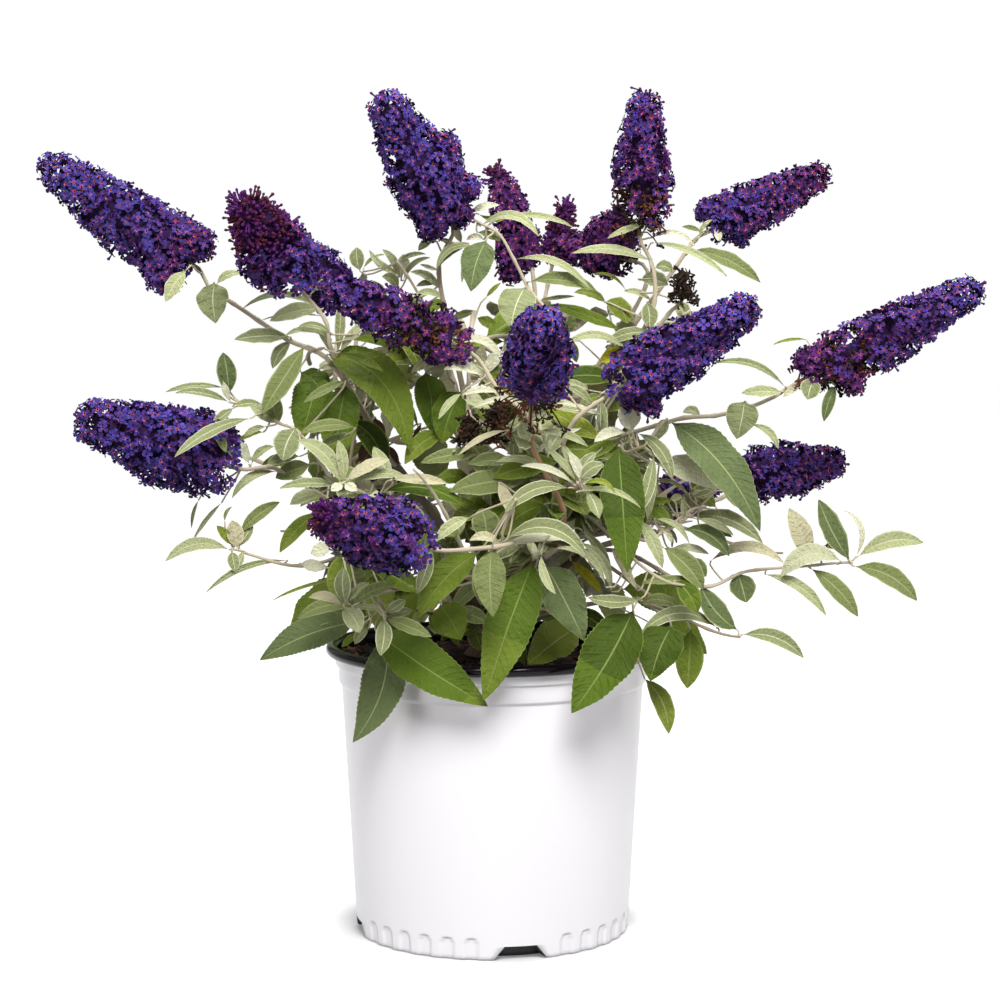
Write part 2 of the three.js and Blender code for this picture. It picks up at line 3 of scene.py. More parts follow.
import bmesh
import bpy
import numpy as np
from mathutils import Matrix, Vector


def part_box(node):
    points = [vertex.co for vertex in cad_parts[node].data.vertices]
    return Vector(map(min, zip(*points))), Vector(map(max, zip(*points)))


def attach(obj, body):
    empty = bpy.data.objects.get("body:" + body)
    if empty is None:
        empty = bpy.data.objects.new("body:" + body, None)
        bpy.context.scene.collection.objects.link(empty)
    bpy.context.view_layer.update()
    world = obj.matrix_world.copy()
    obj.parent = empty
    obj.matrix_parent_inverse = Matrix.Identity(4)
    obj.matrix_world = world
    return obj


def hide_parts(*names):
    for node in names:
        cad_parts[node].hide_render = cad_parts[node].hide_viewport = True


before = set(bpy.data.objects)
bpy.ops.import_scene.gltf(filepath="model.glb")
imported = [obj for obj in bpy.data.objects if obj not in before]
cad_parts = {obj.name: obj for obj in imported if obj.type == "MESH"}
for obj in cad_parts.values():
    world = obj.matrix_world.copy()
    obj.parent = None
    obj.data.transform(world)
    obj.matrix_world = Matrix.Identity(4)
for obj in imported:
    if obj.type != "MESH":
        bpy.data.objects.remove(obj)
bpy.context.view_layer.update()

MM = 0.001
UP = np.array([0.0, 0.0, 1.0])
GOLDEN = math.pi * (3 - math.sqrt(5))

# ---- The plan of the plant --------------------------------------------------------------------
TRUNK = {"radius": 15, "height": 62, "lean": 4}
GROUND = 230.3
TIERS = {
    "low": {"rise": 24, "pitch": 42, "radius": 4.6},
    "high": {"rise": 44, "pitch": 55, "radius": 4.2},
}
BOUGH_SHARE = 0.36  # share of the main shoot that is bare bough
PALE, GREY, BROWN = range(3)  # the bark of a twig

# A flowering shoot ends at its foot, where its spike begins, and the spike reaches its tip. Side
# clusters reach the lobes. A shoot with places to go by passes through them.
BOUGHS = [
    {
        "name": "left_high", "tier": "high", "azimuth": 170,
        "shoots": [
            {
                "spike": "far_left", "foot": (-240, -20, 553), "tip": (-365, -40, 640), "radius": 29,
                "lobes": [(-226, -30, 572), (-264, -45, 534)],
                "by": [(-132, -40, 478), (-166, -30, 495), (-203, -25, 519), (-233, -22, 540)],
            },
            {
                "spike": "left_budding", "foot": (-155, -62, 538), "tip": (-197, -112, 608), "radius": 32,
                "by": [(-130, -55, 488), (-134, -58, 511)],
            },
            {"spike": "back_left_high", "foot": (-130, 150, 525), "tip": (-190, 240, 580), "radius": 25},
            {"tip": (-115, 40, 545)},
            {"tip": (-135, -70, 490)},
        ],
    },
    {
        "name": "left_low", "tier": "low", "azimuth": 194,
        "shoots": [
            {
                "spike": "left", "foot": (-206, -62, 392), "tip": (-328, -112, 437), "radius": 34,
                "by": [(-174, -55, 391)],
            },
            {"tip": (-212, -60, 327), "by": [(-155, -70, 314), (-193, -62, 321)]},
            {"tip": (-208, -50, 447), "by": [(-155, -70, 421), (-174, -52, 429), (-187, -50, 439)]},
            {"tip": (-190, 60, 390)},
        ],
    },
    {
        "name": "centre_high", "tier": "high", "azimuth": 232,
        "shoots": [
            {
                "spike": "crown", "foot": (-32, -40, 588), "tip": (-89, -90, 690), "radius": 30,
                "lobes": [(-37, -55, 664), (-9, -45, 618), (-20, -38, 590), (-50, -50, 574)],
                "by": [(-42, -20, 536), (-43, -30, 559)],
            },
            {"tip": (-80, 20, 560)},
            {"tip": (-30, -120, 410)},
            {"tip": (-60, -50, 520)},
            {"tip": (-18, -30, 599), "by": [(45, -60, 504), (28, -45, 540), (16, -42, 564), (6, -38, 581)]},
            {"spike": "spent_left", "foot": (-19, -118, 419), "tip": (-19, -122, 438), "radius": 11},
        ],
    },
    {
        "name": "front_left", "tier": "low", "azimuth": 250,
        "shoots": [
            {
                "spike": "front_left", "foot": (-48, -190, 341), "tip": (-130, -250, 373), "radius": 30,
                "by": [(24, -140, 338), (22, -164, 344), (3, -178, 341)],
            },
            {"tip": (-118, -150, 388)},
            {"tip": (-114, -150, 298)},
            {"tip": (-60, -170, 400)},
        ],
    },
    {
        "name": "front", "tier": "high", "azimuth": 288,
        "shoots": [
            {
                "spike": "front", "foot": (31, -172, 452), "tip": (37, -262, 520), "radius": 28,
                "by": [(42, -112, 342), (56, -146, 362), (41, -161, 397), (30, -170, 422)], "bark": BROWN,
            },
            {
                "spike": "front_reclining", "foot": (-17, -92, 487), "tip": (-132, -140, 543), "radius": 24,
                "by": [(32, -112, 428), (5, -102, 458)],
            },
            {"tip": (18, -195, 378)},
            {"tip": (74, -170, 384)},
            {"spike": "spent_middle", "foot": (4, -125, 422), "tip": (2, -127, 447), "radius": 12},
        ],
    },
    {
        "name": "right_front", "tier": "low", "azimuth": 312,
        "shoots": [
            {
                "spike": "right_front", "foot": (88, -132, 453), "tip": (205, -152, 527), "radius": 27,
                "lobes": [(130, -140, 440)], "by": [(61, -128, 429)],
            },
            {"tip": (200, -85, 258), "by": [(159, -95, 272)]},
            {"tip": (120, -125, 415)},
            {"tip": (150, -125, 305)},
            {"tip": (168, -70, 362), "by": [(118, -95, 338), (146, -78, 350)]},
        ],
    },
    {
        "name": "right_high", "tier": "high", "azimuth": 345,
        "shoots": [
            {
                "spike": "right_top", "foot": (121, -10, 581), "tip": (125, -22, 698), "radius": 26,
                "by": [(122, -15, 497), (134, -12, 528), (131, -10, 559)],
            },
            {
                "spike": "far_right", "foot": (251, -40, 462), "tip": (395, -60, 540), "radius": 26,
                "lobes": [(297, -55, 452), (245, -50, 480)],
                "by": [(146, -60, 431), (185, -50, 435), (220, -45, 445)],
            },
            {"tip": (160, -60, 520)},
            {
                "spike": "spent_right", "foot": (154, -40, 527), "tip": (155, -45, 552), "radius": 12,
                "by": [(147, -30, 520)],
            },
        ],
    },
    {
        "name": "right_low", "tier": "low", "azimuth": 8,
        "shoots": [
            {
                "spike": "right", "foot": (206, 42, 374), "tip": (303, 62, 391), "radius": 25,
                "by": [(144, 0, 336), (175, 20, 353), (202, 36, 364)],
            },
            {"tip": (295, -48, 314), "by": [(167, -85, 299), (206, -60, 308), (252, -50, 311)]},
            {"tip": (180, 15, 385)},
            {"tip": (250, 60, 310)},
        ],
    },
    {
        "name": "back_right_high", "tier": "high", "azimuth": 40,
        "shoots": [
            {
                "spike": "right_high", "foot": (180, 60, 584), "tip": (288, 82, 638), "radius": 23,
                "lobes": [(173, 60, 604), (211, 62, 572)], "by": [(164, 50, 568)],
            },
            {"spike": "back_right_high", "foot": (135, 190, 468), "tip": (225, 285, 512), "radius": 25},
            {
                "spike": "middle_high", "foot": (122, 62, 560), "tip": (52, 96, 575), "radius": 20,
                "lobes": [(100, 66, 604), (84, 74, 596)],
            },
            {"tip": (150, 110, 450)},
        ],
    },
    {
        "name": "back_high", "tier": "high", "azimuth": 95,
        "shoots": [
            {
                "spike": "top_middle", "foot": (27, 66, 576), "tip": (1, 84, 641), "radius": 17,
                "lobes": [(14, 62, 542), (34, 62, 555)],
            },
            {"spike": "back_high", "foot": (28, 190, 448), "tip": (42, 305, 502), "radius": 26},
            {"spike": "top_budding", "foot": (52, 122, 556), "tip": (66, 146, 613), "radius": 15},
            {"tip": (-45, 130, 500)},
        ],
    },
    {
        "name": "back_right_low", "tier": "low", "azimuth": 68,
        "shoots": [
            {"spike": "back_right", "foot": (147, 197, 339), "tip": (222, 292, 360), "radius": 23},
            {"tip": (40, 240, 320)},
            {"tip": (190, 140, 340)},
            {"tip": (70, 170, 430)},
        ],
    },
    {
        "name": "back_left_low", "tier": "low", "azimuth": 128,
        "shoots": [
            {"spike": "back_left", "foot": (-222, 110, 392), "tip": (-325, 165, 425), "radius": 26},
            {"spike": "back_left_low", "foot": (-95, 205, 350), "tip": (-140, 310, 380), "radius": 26},
            {"tip": (-190, 150, 320)},
            {"tip": (-110, 130, 450)},
            {"tip": (-30, 180, 420)},
        ],
    },
]

CLUMPS = [
    {"name": "basal_left", "azimuth": 222, "tip": (-88, -80, 284)},
    {"name": "basal_front", "azimuth": 280, "tip": (30, -125, 330)},
    {"name": "basal_right", "azimuth": 318, "tip": (118, -90, 290)},
    {"name": "basal_back_right", "azimuth": 32, "tip": (85, 75, 292)},
    {"name": "basal_back_left", "azimuth": 140, "tip": (-85, 70, 292)},
]

# The leaves that show by themselves, one a line: its root, its tip, its width, its tone and how far
# its middle stands above the line between its ends.
# Some leaves take a paler tone where they stand in shade and some a darker one where they are lit: painted
# light and shade on top of their own colour.
SEEN = {
    "left_high": """
    -134 -45 484  -66 -85 408  36 moss 15
    -143 -30 469  -156 -55 414  33 green 0
    -119 -35 458  -127 -60 392  33 green 2
    -80 -30 503  -59 -45 470  13 olive 4
    -105 -60 504  -113 -55 523  8 frost 0
    -157 -30 469  -132 -40 443  25 deep 2
    -117 -20 429  -88 -30 389  21 deep 3
    -246 -62 552  -262 -68 527  14 frost 0
    -227 -30 542  -225 -40 509  27 sage 0
    -226 -20 541  -207 -10 550  8 frost 2
    -140 -40 520  -204 -30 521  6 frost 7
    -138 -45 521  -181 -40 511  15 frost 2
    -139 -35 515  -188 -30 512  3 sage 2
    -165 -35 498  -210 -40 496  15 sage 2
    -131 -50 497  -168 -55 499  6 frost 5
    -130 -60 502  -156 -60 507  6 sage 3
    -165 -25 494  -180 -30 472  11 sage 2
    -151 -60 491  -185 -75 437  19 dusk 2
    -124 -70 485  -86 -100 472  8 moss 2
    -113 -60 496  -75 -70 487  8 moss 4
    -101 -40 465  -60 -50 424  6 olive 8
    -125 -50 486  -123 -45 528  9 sage 0
    -123 -55 486  -102 -60 511  8 frost 2
    -132 -50 486  -145 -50 510  7 frost 2
    -97 0 430  -95 -5 406  17 dry 0
    -105 5 445  -109 0 428  7 dry 0
    -101 5 411  -111 5 393  9 dry 0
    -87 0 407  -78 0 391  6 dry 0
    -78 0 459  -72 0 436  5 dry 0
    -59 0 425  -67 0 411  4 dry 0
    -143 -70 535  -122 -75 537  10 dusk 4
    """,
    "left_low": """
    -213 -55 452  -217 -60 486  16 felt 0
    -218 -50 457  -264 -60 454  6 sage 4
    -213 -60 446  -254 -75 454  8 sage 4
    -212 -55 446  -218 -60 463  6 white 0
    -209 -60 441  -225 -75 427  8 sage 0
    -193 -85 434  -247 -140 407  11 sage 5
    -221 -85 422  -211 -100 408  7 dusk 0
    -187 -50 444  -211 -55 442  8 sage 0
    -175 -50 428  -196 -55 443  11 frost 0
    -173 -50 428  -179 -50 454  15 dusk 0
    -183 -60 426  -201 -60 418  6 frost 2
    -186 -50 421  -207 -45 413  5 lime 2
    -197 -60 396  -203 -60 414  8 white 0
    -196 -50 395  -178 -45 409  7 frost 3
    -176 -50 389  -211 -60 368  8 frost 4
    -166 -30 396  -189 -30 393  11 moss 0
    -148 -50 395  -176 -55 384  16 dusk 0
    -214 -60 326  -265 -65 317  12 frost 6
    -210 -60 329  -223 -65 346  8 lime 0
    -207 -60 327  -211 -60 350  14 cream 0
    -206 -55 328  -196 -45 345  10 sage 0
    -206 -50 338  -174 -40 363  11 dusk 3
    -211 -65 325  -207 -75 309  10 sage 0
    -202 -62 325  -206 -70 311  6 frost 0
    -167 -60 317  -231 -75 293  6 sage 4
    -217 -60 349  -211 -60 361  3 sage 2
    -119 -90 306  -177 -80 287  3 olive 4
    -155 -70 316  -134 -70 312  11 white 0
    -240 -45 365  -246 -45 342  3 frost 0
    -221 -45 363  -245 -45 332  4 frost 0
    -117 -80 464  -150 -90 447  8 dusk 2
    -138 -90 359  -169 -100 328  13 moss 3
    -109 -90 427  -152 -100 423  11 dusk 4
    -112 -80 422  -139 -85 411  8 dusk 0
    -158 -70 426  -168 -80 400  22 sage 0
    -156 -60 402  -182 -65 396  10 sage 2
    """,
    "front_left": """
    -117 -150 388  -150 -150 421  13 frost 4
    -121 -140 385  -165 -145 383  9 sage 3
    -115 -150 389  -119 -150 421  9 frost 2
    -113 -150 389  -79 -150 406  10 cream 2
    -109 -145 388  -67 -140 392  9 frost 5
    -115 -160 388  -123 -170 383  8 white 0
    -113 -160 388  -103 -170 383  8 white 0
    -77 -140 391  -92 -135 415  11 frost -2
    -77 -145 390  -34 -160 388  9 cream 2
    -84 -130 380  -21 -140 369  15 deep 5
    -116 -150 292  -142 -155 299  8 cream 2
    -114 -150 293  -115 -150 322  13 sage 0
    -112 -150 295  -95 -150 310  7 frost 2
    -109 -155 293  -74 -160 309  11 dusk 2
    -114 -160 292  -101 -180 275  16 frost 0
    -82 -160 288  -67 -155 297  9 sage 0
    -82 -165 284  -46 -175 271  12 dusk -2
    -83 -170 284  -85 -185 258  13 sage 0
    -82 -160 288  -109 -150 291  5 frost 2
    -81 -155 284  -61 -150 288  8 sage 0
    -116 -120 330  -125 -125 295  21 moss 0
    -94 -125 323  -56 -130 300  19 green 0
    -46 -170 338  -57 -180 305  11 sage 0
    -110 -120 288  -154 -115 277  12 dusk 3
    -126 -120 335  -143 -120 329  12 white 0
    -129 -100 370  -153 -95 364  7 dusk 4
    -13 -70 315  -36 -80 294  12 dry 0
    -135 -130 378  -158 -130 369  11 frost 2
    -96 -142 273  -107 -146 261  8 sage 1
    """,
    "centre_high": """
    -74 45 549  -105 55 570  7 frost -4
    -113 60 552  -116 65 572  13 sage 0
    -110 60 554  -92 60 566  4 frost 3
    -81 40 558  -56 40 566  5 sage 3
    -75 35 544  -52 30 563  5 frost 3
    -77 40 548  -75 40 566  11 white 0
    -80 40 547  -93 45 570  7 frost 2
    -79 20 537  -92 15 547  10 sage 2
    -47 -35 576  -60 -35 568  7 frost 2
    -44 -35 577  -30 -30 567  5 sage 2
    -17 -40 571  -45 -50 553  7 sage 7
    -5 -50 576  -17 -70 535  27 felt 0
    -18 -20 571  -25 -20 542  5 frost 0
    -43 0 536  -68 0 551  8 frost 3
    -39 -20 528  -65 -25 530  7 frost 4
    -38 -20 527  -56 -25 520  10 moss 0
    -45 0 541  -63 0 539  6 dusk 2
    -7 -30 577  -21 -25 577  6 white 2
    -9 -30 588  38 -50 579  9 frost 9
    6 -25 594  66 -35 587  6 frost 5
    -11 -20 598  17 -25 600  6 lime -7
    19 -40 561  79 -60 537  7 frost 11
    -18 -30 599  6 -30 605  7 white 2
    31 -50 543  84 -50 536  13 dusk 5
    26 -60 538  15 -85 506  31 sage 0
    -30 -60 492  8 -70 479  8 white 8
    -26 -80 480  -64 -90 471  11 frost 2
    -6 -90 468  -38 -110 474  10 white 4
    -5 -80 469  11 -85 487  11 white 2
    -3 -80 466  10 -90 470  7 moss 0
    -54 -60 470  -49 -70 422  27 green 0
    -24 -70 455  -40 -80 413  29 green 2
    -12 -20 518  -35 -20 510  7 dusk 2
    10 -30 494  -18 -30 491  9 olive 0
    6 -20 503  -12 -20 513  10 moss 0
    -21 -35 571  -45 -40 554  7 sage 3
    -25 -20 574  -34 -20 591  7 silver 0
    -44 -20 552  -59 -20 557  4 silver 0
    -12 -30 583  7 -30 576  7 dusk 1
    37 -40 527  67 -40 531  4 sage 1
    -5 -30 530  7 -30 542  4 lime 0
    -36 -70 422  -70 -80 397  16 moss 3
    -50 -60 423  -27 -60 431  14 dusk 2
    -15 -70 382  -45 -80 384  14 moss 2
    """,
    "front": """
    -24 -100 455  -42 -115 435  6 frost 2
    -24 -105 453  5 -110 456  6 white 3
    -23 -105 451  5 -115 446  6 frost -2
    -17 -120 443  25 -130 449  5 white 2
    31 -130 449  86 -120 438  5 frost 2
    12 -140 428  -26 -150 409  5 cream 2
    -9 -110 407  -56 -120 401  12 dusk 2
    30 -130 388  -33 -140 380  21 dusk 4
    5 -150 388  17 -155 362  10 cream 0
    -4 -150 344  -8 -150 368  22 dusk 0
    41 -140 370  6 -150 346  22 moss 3
    44 -145 397  3 -150 404  7 frost 5
    53 -135 403  1 -140 391  19 moss 3
    87 -110 418  44 -100 442  17 lime 2
    32 -165 421  16 -175 427  20 sage 0
    37 -160 429  74 -165 417  7 frost 2
    38 -155 428  69 -160 431  5 white -2
    63 -165 388  22 -180 403  6 white 5
    65 -165 390  40 -165 417  6 frost 3
    66 -165 390  53 -160 420  7 frost 2
    68 -170 392  86 -175 404  12 sage 2
    69 -165 390  59 -165 413  8 white 0
    71 -175 389  94 -190 383  5 lime 4
    65 -170 382  114 -180 371  5 frost 6
    59 -165 385  10 -185 368  12 sage 5
    66 -160 391  81 -155 412  9 sage 2
    -17 -165 362  -43 -180 345  10 frost 3
    10 -175 346  73 -190 334  14 sage 12
    38 -180 335  49 -190 306  7 frost -5
    0 -180 338  1 -195 289  25 dusk 0
    -11 -150 333  -57 -165 284  25 moss 6
    6 -175 343  -17 -180 346  8 cream 3
    10 -170 341  54 -165 345  8 white 3
    48 -125 448  86 -120 439  6 white 2
    71 -120 348  95 -110 311  8 sage 0
    33 -110 301  38 -115 287  5 yellow 0
    28 -178 422  23 -180 437  13 frost 0
    """,
    "right_front": """
    105 -120 425  80 -130 418  9 white 2
    110 -120 426  104 -125 450  18 white 0
    101 -110 418  69 -120 403  11 moss 2
    115 -115 424  142 -120 388  12 sage 7
    111 -110 417  136 -115 407  9 dusk 2
    99 -130 415  105 -160 319  36 deep 0
    127 -120 407  113 -140 361  11 sage -3
    140 -90 434  130 -100 417  10 frost 2
    143 -90 431  211 -125 347  35 felt 10
    131 -80 397  187 -92 378  23 silver 3
    186 -70 375  204 -75 359  11 sage 0
    127 -70 381  160 -70 368  4 sage 6
    145 -80 368  125 -80 368  6 moss 0
    125 -80 365  144 -85 347  12 moss 0
    131 -100 388  123 -110 355  7 frost 0
    117 -110 355  135 -115 317  11 frost 2
    136 -110 333  167 -120 301  18 dusk 3
    165 -115 306  118 -120 306  8 dusk 2
    145 -120 308  162 -125 283  17 green 2
    181 -80 265  118 -110 264  13 sage 9
    152 -90 282  119 -100 288  10 dusk 2
    198 -80 263  168 -85 299  20 felt -4
    202 -80 259  251 -85 241  13 sage 5
    116 -130 294  75 -140 297  11 sage -3
    94 -130 300  70 -140 340  8 frost 4
    89 -140 305  50 -150 337  6 frost 7
    115 -120 300  94 -125 334  7 cream 0
    160 -60 372  180 -60 372  11 cream 1
    143 -75 368  153 -80 371  6 frost 0
    126 -60 364  147 -60 345  12 dusk 2
    154 -75 352  153 -80 370  5 frost 0
    164 -90 354  193 -95 341  7 frost 2
    144 -75 328  175 -75 324  7 silver 2
    57 -110 461  79 -110 446  7 sage 2
    64 -60 317  90 -70 291  9 yellow 0
    138 -40 358  162 -40 363  10 dusk 0
    161 -50 356  156 -50 371  8 frost 0
    161 -50 380  171 -55 366  10 olive 0
    156 -60 369  186 -60 380  11 sage -2
    183 -45 359  162 -45 377  15 olive 0
    170 -40 355  149 -40 366  10 frost 0
    170 -60 344  195 -60 336  7 moss 2
    160 -60 353  219 -70 332  14 sage 5
    155 -80 345  190 -90 324  16 felt 4
    130 -90 354  158 -90 334  5 frost 6
    135 -85 346  144 -88 334  5 cream 2
    """,
    "right_low": """
    144 -40 389  160 -40 379  8 frost 2
    177 -70 318  235 -80 317  10 cream 9
    160 -80 322  172 -85 307  14 felt 0
    200 -60 307  206 -70 284  22 felt 0
    223 -55 305  272 -60 272  10 frost 4
    261 -50 313  241 -60 360  19 cream -2
    284 -55 316  234 -65 304  17 silver 10
    261 -50 309  298 -60 271  16 dusk 3
    292 -50 316  266 -50 366  19 felt 0
    298 -45 319  288 -45 357  5 white 7
    300 -45 319  353 -45 330  15 frost 3
    296 -50 311  346 -60 284  17 dusk 4
    271 -50 328  285 -50 327  7 frost 0
    291 -45 317  275 -50 332  6 white 0
    """,
    "right_high": """
    125 -20 590  94 -25 578  6 frost 2
    132 -5 579  168 0 572  5 white 5
    133 -5 575  193 -20 547  7 frost 3
    132 -10 559  65 -25 566  9 frost 6
    135 0 554  149 0 551  11 sage 3
    127 -20 526  129 -25 504  14 sage 0
    124 20 544  147 20 540  16 sage 2
    111 10 536  83 10 549  3 lime 4
    95 10 525  68 5 534  9 olive 2
    93 0 526  112 -5 508  18 olive 5
    132 0 527  109 5 535  6 frost 2
    108 -10 502  46 -20 524  11 moss 2
    111 -20 487  57 -30 490  8 frost 10
    131 -20 501  94 -20 493  11 sage 3
    114 -10 485  89 -10 477  16 yellow 0
    66 0 494  70 0 476  8 olive 0
    103 -20 462  54 -30 463  18 deep 5
    152 10 525  161 5 509  13 sage 3
    122 -20 495  107 -20 485  7 lime 0
    79 -50 455  55 -50 462  7 frost 2
    87 -60 452  73 -60 444  8 olive 0
    205 -50 446  198 -60 416  27 sage 0
    211 -50 427  233 -50 407  7 frost 3
    238 -45 458  180 -50 477  7 sage 6
    256 -40 496  229 -40 492  3 lime 1
    235 -50 454  202 -55 453  11 frost 0
    249 -50 457  236 -55 450  6 cream 0
    261 -55 465  255 -60 448  17 sage 0
    279 -50 459  269 -55 430  10 felt 2
    169 -50 434  155 -50 437  8 frost 2
    """,
    "back_right_high": """
    167 40 569  225 25 542  14 dusk 7
    177 45 585  160 40 589  5 dusk 0
    191 50 586  192 45 577  7 white 0
    175 45 581  186 45 595  4 frost 2
    """,
    "basal_left": """
    -100 -50 285  -150 -20 275  32 moss 4
    -91 -105 263  -3 -152 213  39 green 2
    -115 -80 278  -155 -80 265  14 dusk 2
    -116 -55 281  -120 -60 327  31 dusk 0
    -97 -70 307  -64 -80 294  15 moss 2
    -76 -62 313  -74 -85 256  34 moss 2
    -91 -66 308  -92 -88 264  27 olive 2
    -84 -112 264  -110 -128 180  36 felt -11
    -108 -88 271  -188 -78 238  30 felt 2
    -106 -128 268  -118 -135 257  6 moss 0
    -103 -20 283  -112 -40 252  28 moss 0
    """,
    "basal_front": """
    32 -145 327  -7 -165 219  40 green -7
    42 -120 320  72 -142 263  34 felt 5
    67 -62 262  28 -100 238  34 olive 0
    13 -70 259  26 -85 235  12 moss 3
    -41 -120 289  -24 -130 262  30 moss 0
    -47 -125 295  -46 -128 285  5 yellow 0
    30 50 276  58 58 243  17 olive 0
    68 35 264  100 40 244  15 deep 3
    """,
    "basal_right": """
    130 -30 262  178 -25 235  32 moss 4
    111 -122 284  62 -155 208  45 deep -3
    143 -105 269  125 -128 229  36 deep 2
    161 -68 262  158 -78 215  23 moss 0
    123 -86 224  142 -95 181  16 olive 5
    144 -90 271  119 -95 256  10 deep 0
    """,
    "back_right_low": """
    60 150 400  90 215 345  36 moss 6
    20 170 350  -5 235 290  34 green 6
    """,
    "back_left_low": """
    -60 150 400  -45 225 350  36 moss 6
    -120 120 370  -160 170 310  34 green 6
    -126 150 371  -108 150 402  27 deep 0
    -113 150 375  -126 150 396  18 dry 0
    """,
    "basal_back_right": """
    112 50 280  175 85 240  38 moss 5
    75 105 285  110 160 225  40 green 5
    30 115 285  15 175 235  36 moss 5
    """,
    "basal_back_left": """
    -40 115 285  -70 165 225  40 green 5
    -90 85 290  -140 120 235  38 moss 5
    -110 30 285  -175 45 240  36 moss 5
    """,
}

# Where the bush is dense, as seen from the front: an outline of x and z, and the gaps in it that the
# sky shows through, with x, z and radius.
DENSE = [
    (-122, 485), (-160, 468), (-173, 445), (-173, 415), (-160, 386), (-142, 361), (-136, 323), (-143, 294),
    (-136, 260), (-124, 231), (-78, 209), (124, 209), (166, 243), (174, 277), (184, 311), (174, 340),
    (150, 361), (144, 386), (146, 420), (123, 445), (98, 470), (123, 490), (123, 519), (89, 531), (56, 528),
    (23, 540), (-10, 528), (-43, 511), (-77, 490),
]
GAPS = [
    (-116, 415, 6), (-112, 403, 8), (-67, 438, 9), (-56, 415, 7), (-76, 399, 7), (-77, 385, 5),
    (-35, 403, 6), (-24, 461, 7), (-52, 349, 8), (2, 489, 6), (75, 482, 13), (83, 453, 7), (127, 424, 7),
    (140, 323, 7), (132, 309, 8), (100, 301, 7), (147, 298, 7), (87, 321, 5), (67, 333, 4), (165, 323, 8),
    (148, 344, 6), (136, 281, 7), (115, 285, 7), (6, 406, 5), (-160, 486, 8), (106, 425, 4),
]
# Dark pockets in it, given the same way, with the depth that a leaf has to keep behind to fill one. The deep
# and dry leaves of SEEN that hang in some of them stand partly for old leaves and partly for painted shade.
SHADES = [(-30, 300, 12), (30, 280, 14), (-102, 424, 13), (-112, 400, 8), (60, 312, 9)]
SHADE_DEPTH = -10
EYE_PLACE = (6.4, -2080, 545)  # where the bush is seen from, as by the camera

# How each spike looks from its foot, 0, to its tip, 1. A tone runs from light blue, 0, to deep
# magenta, 4. Past `budding` the spike is mostly buds, and between the two shares of `withered` its
# flowers are mostly spent.
SPIKE_LOOKS = {
    "far_left": {"tones": (1.6, 0.9)},
    "left_budding": {"tones": (1.0, 3.2), "budding": 0.52},
    "left": {"tones": (1.3, 0.9)},
    "crown": {"tones": (1.6, 0.9)},
    "front_left": {"tones": (0.8, 3.2), "budding": 0.93},
    "front": {"tones": (2.2, 0.7), "from": 0.2, "fringe": 30},
    "front_reclining": {"tones": (3.2, 1.6), "withered": (0.2, 0.52)},
    "right_front": {"tones": (1.3, 0.9)},
    "right_top": {"tones": (2.6, 1.8), "withered": (0.02, 0.3)},
    "far_right": {"tones": (3.0, 0.8), "withered": (0.06, 0.34)},
    "right": {"tones": (1.3, 2.2)},
    "right_high": {"tones": (1.2, 3.2)},
    "middle_high": {"tones": (3.2, 3.4)},
    "top_middle": {"tones": (3.0, 4.0), "budding": 0.72},
    "top_budding": {"tones": (4.0, 4.0), "budding": 0.1},
    "spent_left": {"spent": True},
    "spent_middle": {"spent": True},
    "spent_right": {"spent": True},
}
PLAIN_LOOK = {"tones": (1.5, 1.2)}


# ---- Small mathematics ------------------------------------------------------------------------
def unit(v):
    return v / np.maximum(np.linalg.norm(v, axis=-1, keepdims=True), 1e-9)


def mix(a, b, t):
    return a + (b - a) * t


def vec(values):
    return np.array(values, float)


def heading(azimuth, pitch):
    a, p = math.radians(azimuth), math.radians(pitch)
    return vec((math.cos(a) * math.cos(p), math.sin(a) * math.cos(p), math.sin(p)))


def turned(v, axis, angle):
    """v turned about a unit axis; both may be rows of vectors."""
    c, s = np.cos(angle), np.sin(angle)
    dot = np.sum(v * axis, axis=-1, keepdims=True)
    return v * c + np.cross(axis, v) * s + axis * dot * (1 - c)


def side_of(along, steep=0.95):
    """A level direction across a limb, or one to the front or back of an upright limb."""
    hint = vec((1, 0, 0)) if abs(along[2]) > steep else UP
    return unit(np.cross(along, hint))


def round_angles(count):
    return np.arange(count) * 2 * math.pi / count


def read_off(rows, x):
    """A value read off rows of places and values, straight between them."""
    return np.interp(x, *zip(*rows))


class Curve:
    """A smooth curve between two points, read by its share of the length."""

    STEPS, KEPT_STEPS = 65, 24
    PULLS = (0.38, 0.3)  # how far the ways at its two ends lead it, as shares of its reach
    NEAR = 0.02  # share of the length over which a way is read

    def __init__(self, start, start_way, end, end_way):
        reach = np.linalg.norm(end - start)
        b, c = start + start_way * reach * self.PULLS[0], end - end_way * reach * self.PULLS[1]
        u = np.linspace(0, 1, self.STEPS)[:, None]
        self.follow(start * (1 - u) ** 3 + 3 * b * u * (1 - u) ** 2 + 3 * c * u * u * (1 - u) + end * u**3)

    def follow(self, points):
        self.points = points
        steps = np.linalg.norm(np.diff(self.points, axis=0), axis=1)
        self.places = np.concatenate([[0], np.cumsum(steps)])
        self.length = self.places[-1]

    def reroute(self, share, by):
        """Leads the curve by some places after a share of its length, and returns that share anew."""
        kept = self.at(np.linspace(0, share, self.KEPT_STEPS))
        ends, ways = [kept[-1], *map(vec, by), self.points[-1]], [self.way(share)]
        ways += [unit(after - before) for before, after in zip(ends, ends[2:])] + [self.way(1)]
        rest = [Curve(a, v, b, w).points[1:] for a, b, v, w in zip(ends, ends[1:], ways, ways[1:])]
        length = share * self.length
        self.follow(np.concatenate([kept, *rest]))
        return length / self.length

    def at(self, t):
        s = np.clip(t, 0, 1) * self.length
        return np.stack([np.interp(s, self.places, self.points[:, i]) for i in range(3)], axis=-1)

    def way(self, t):
        return unit(self.at(min(t + self.NEAR, 1)) - self.at(max(t - self.NEAR, 0)))


# ---- Faces and meshes --------------------------------------------------------------------------
UV_PER_MM = 0.1


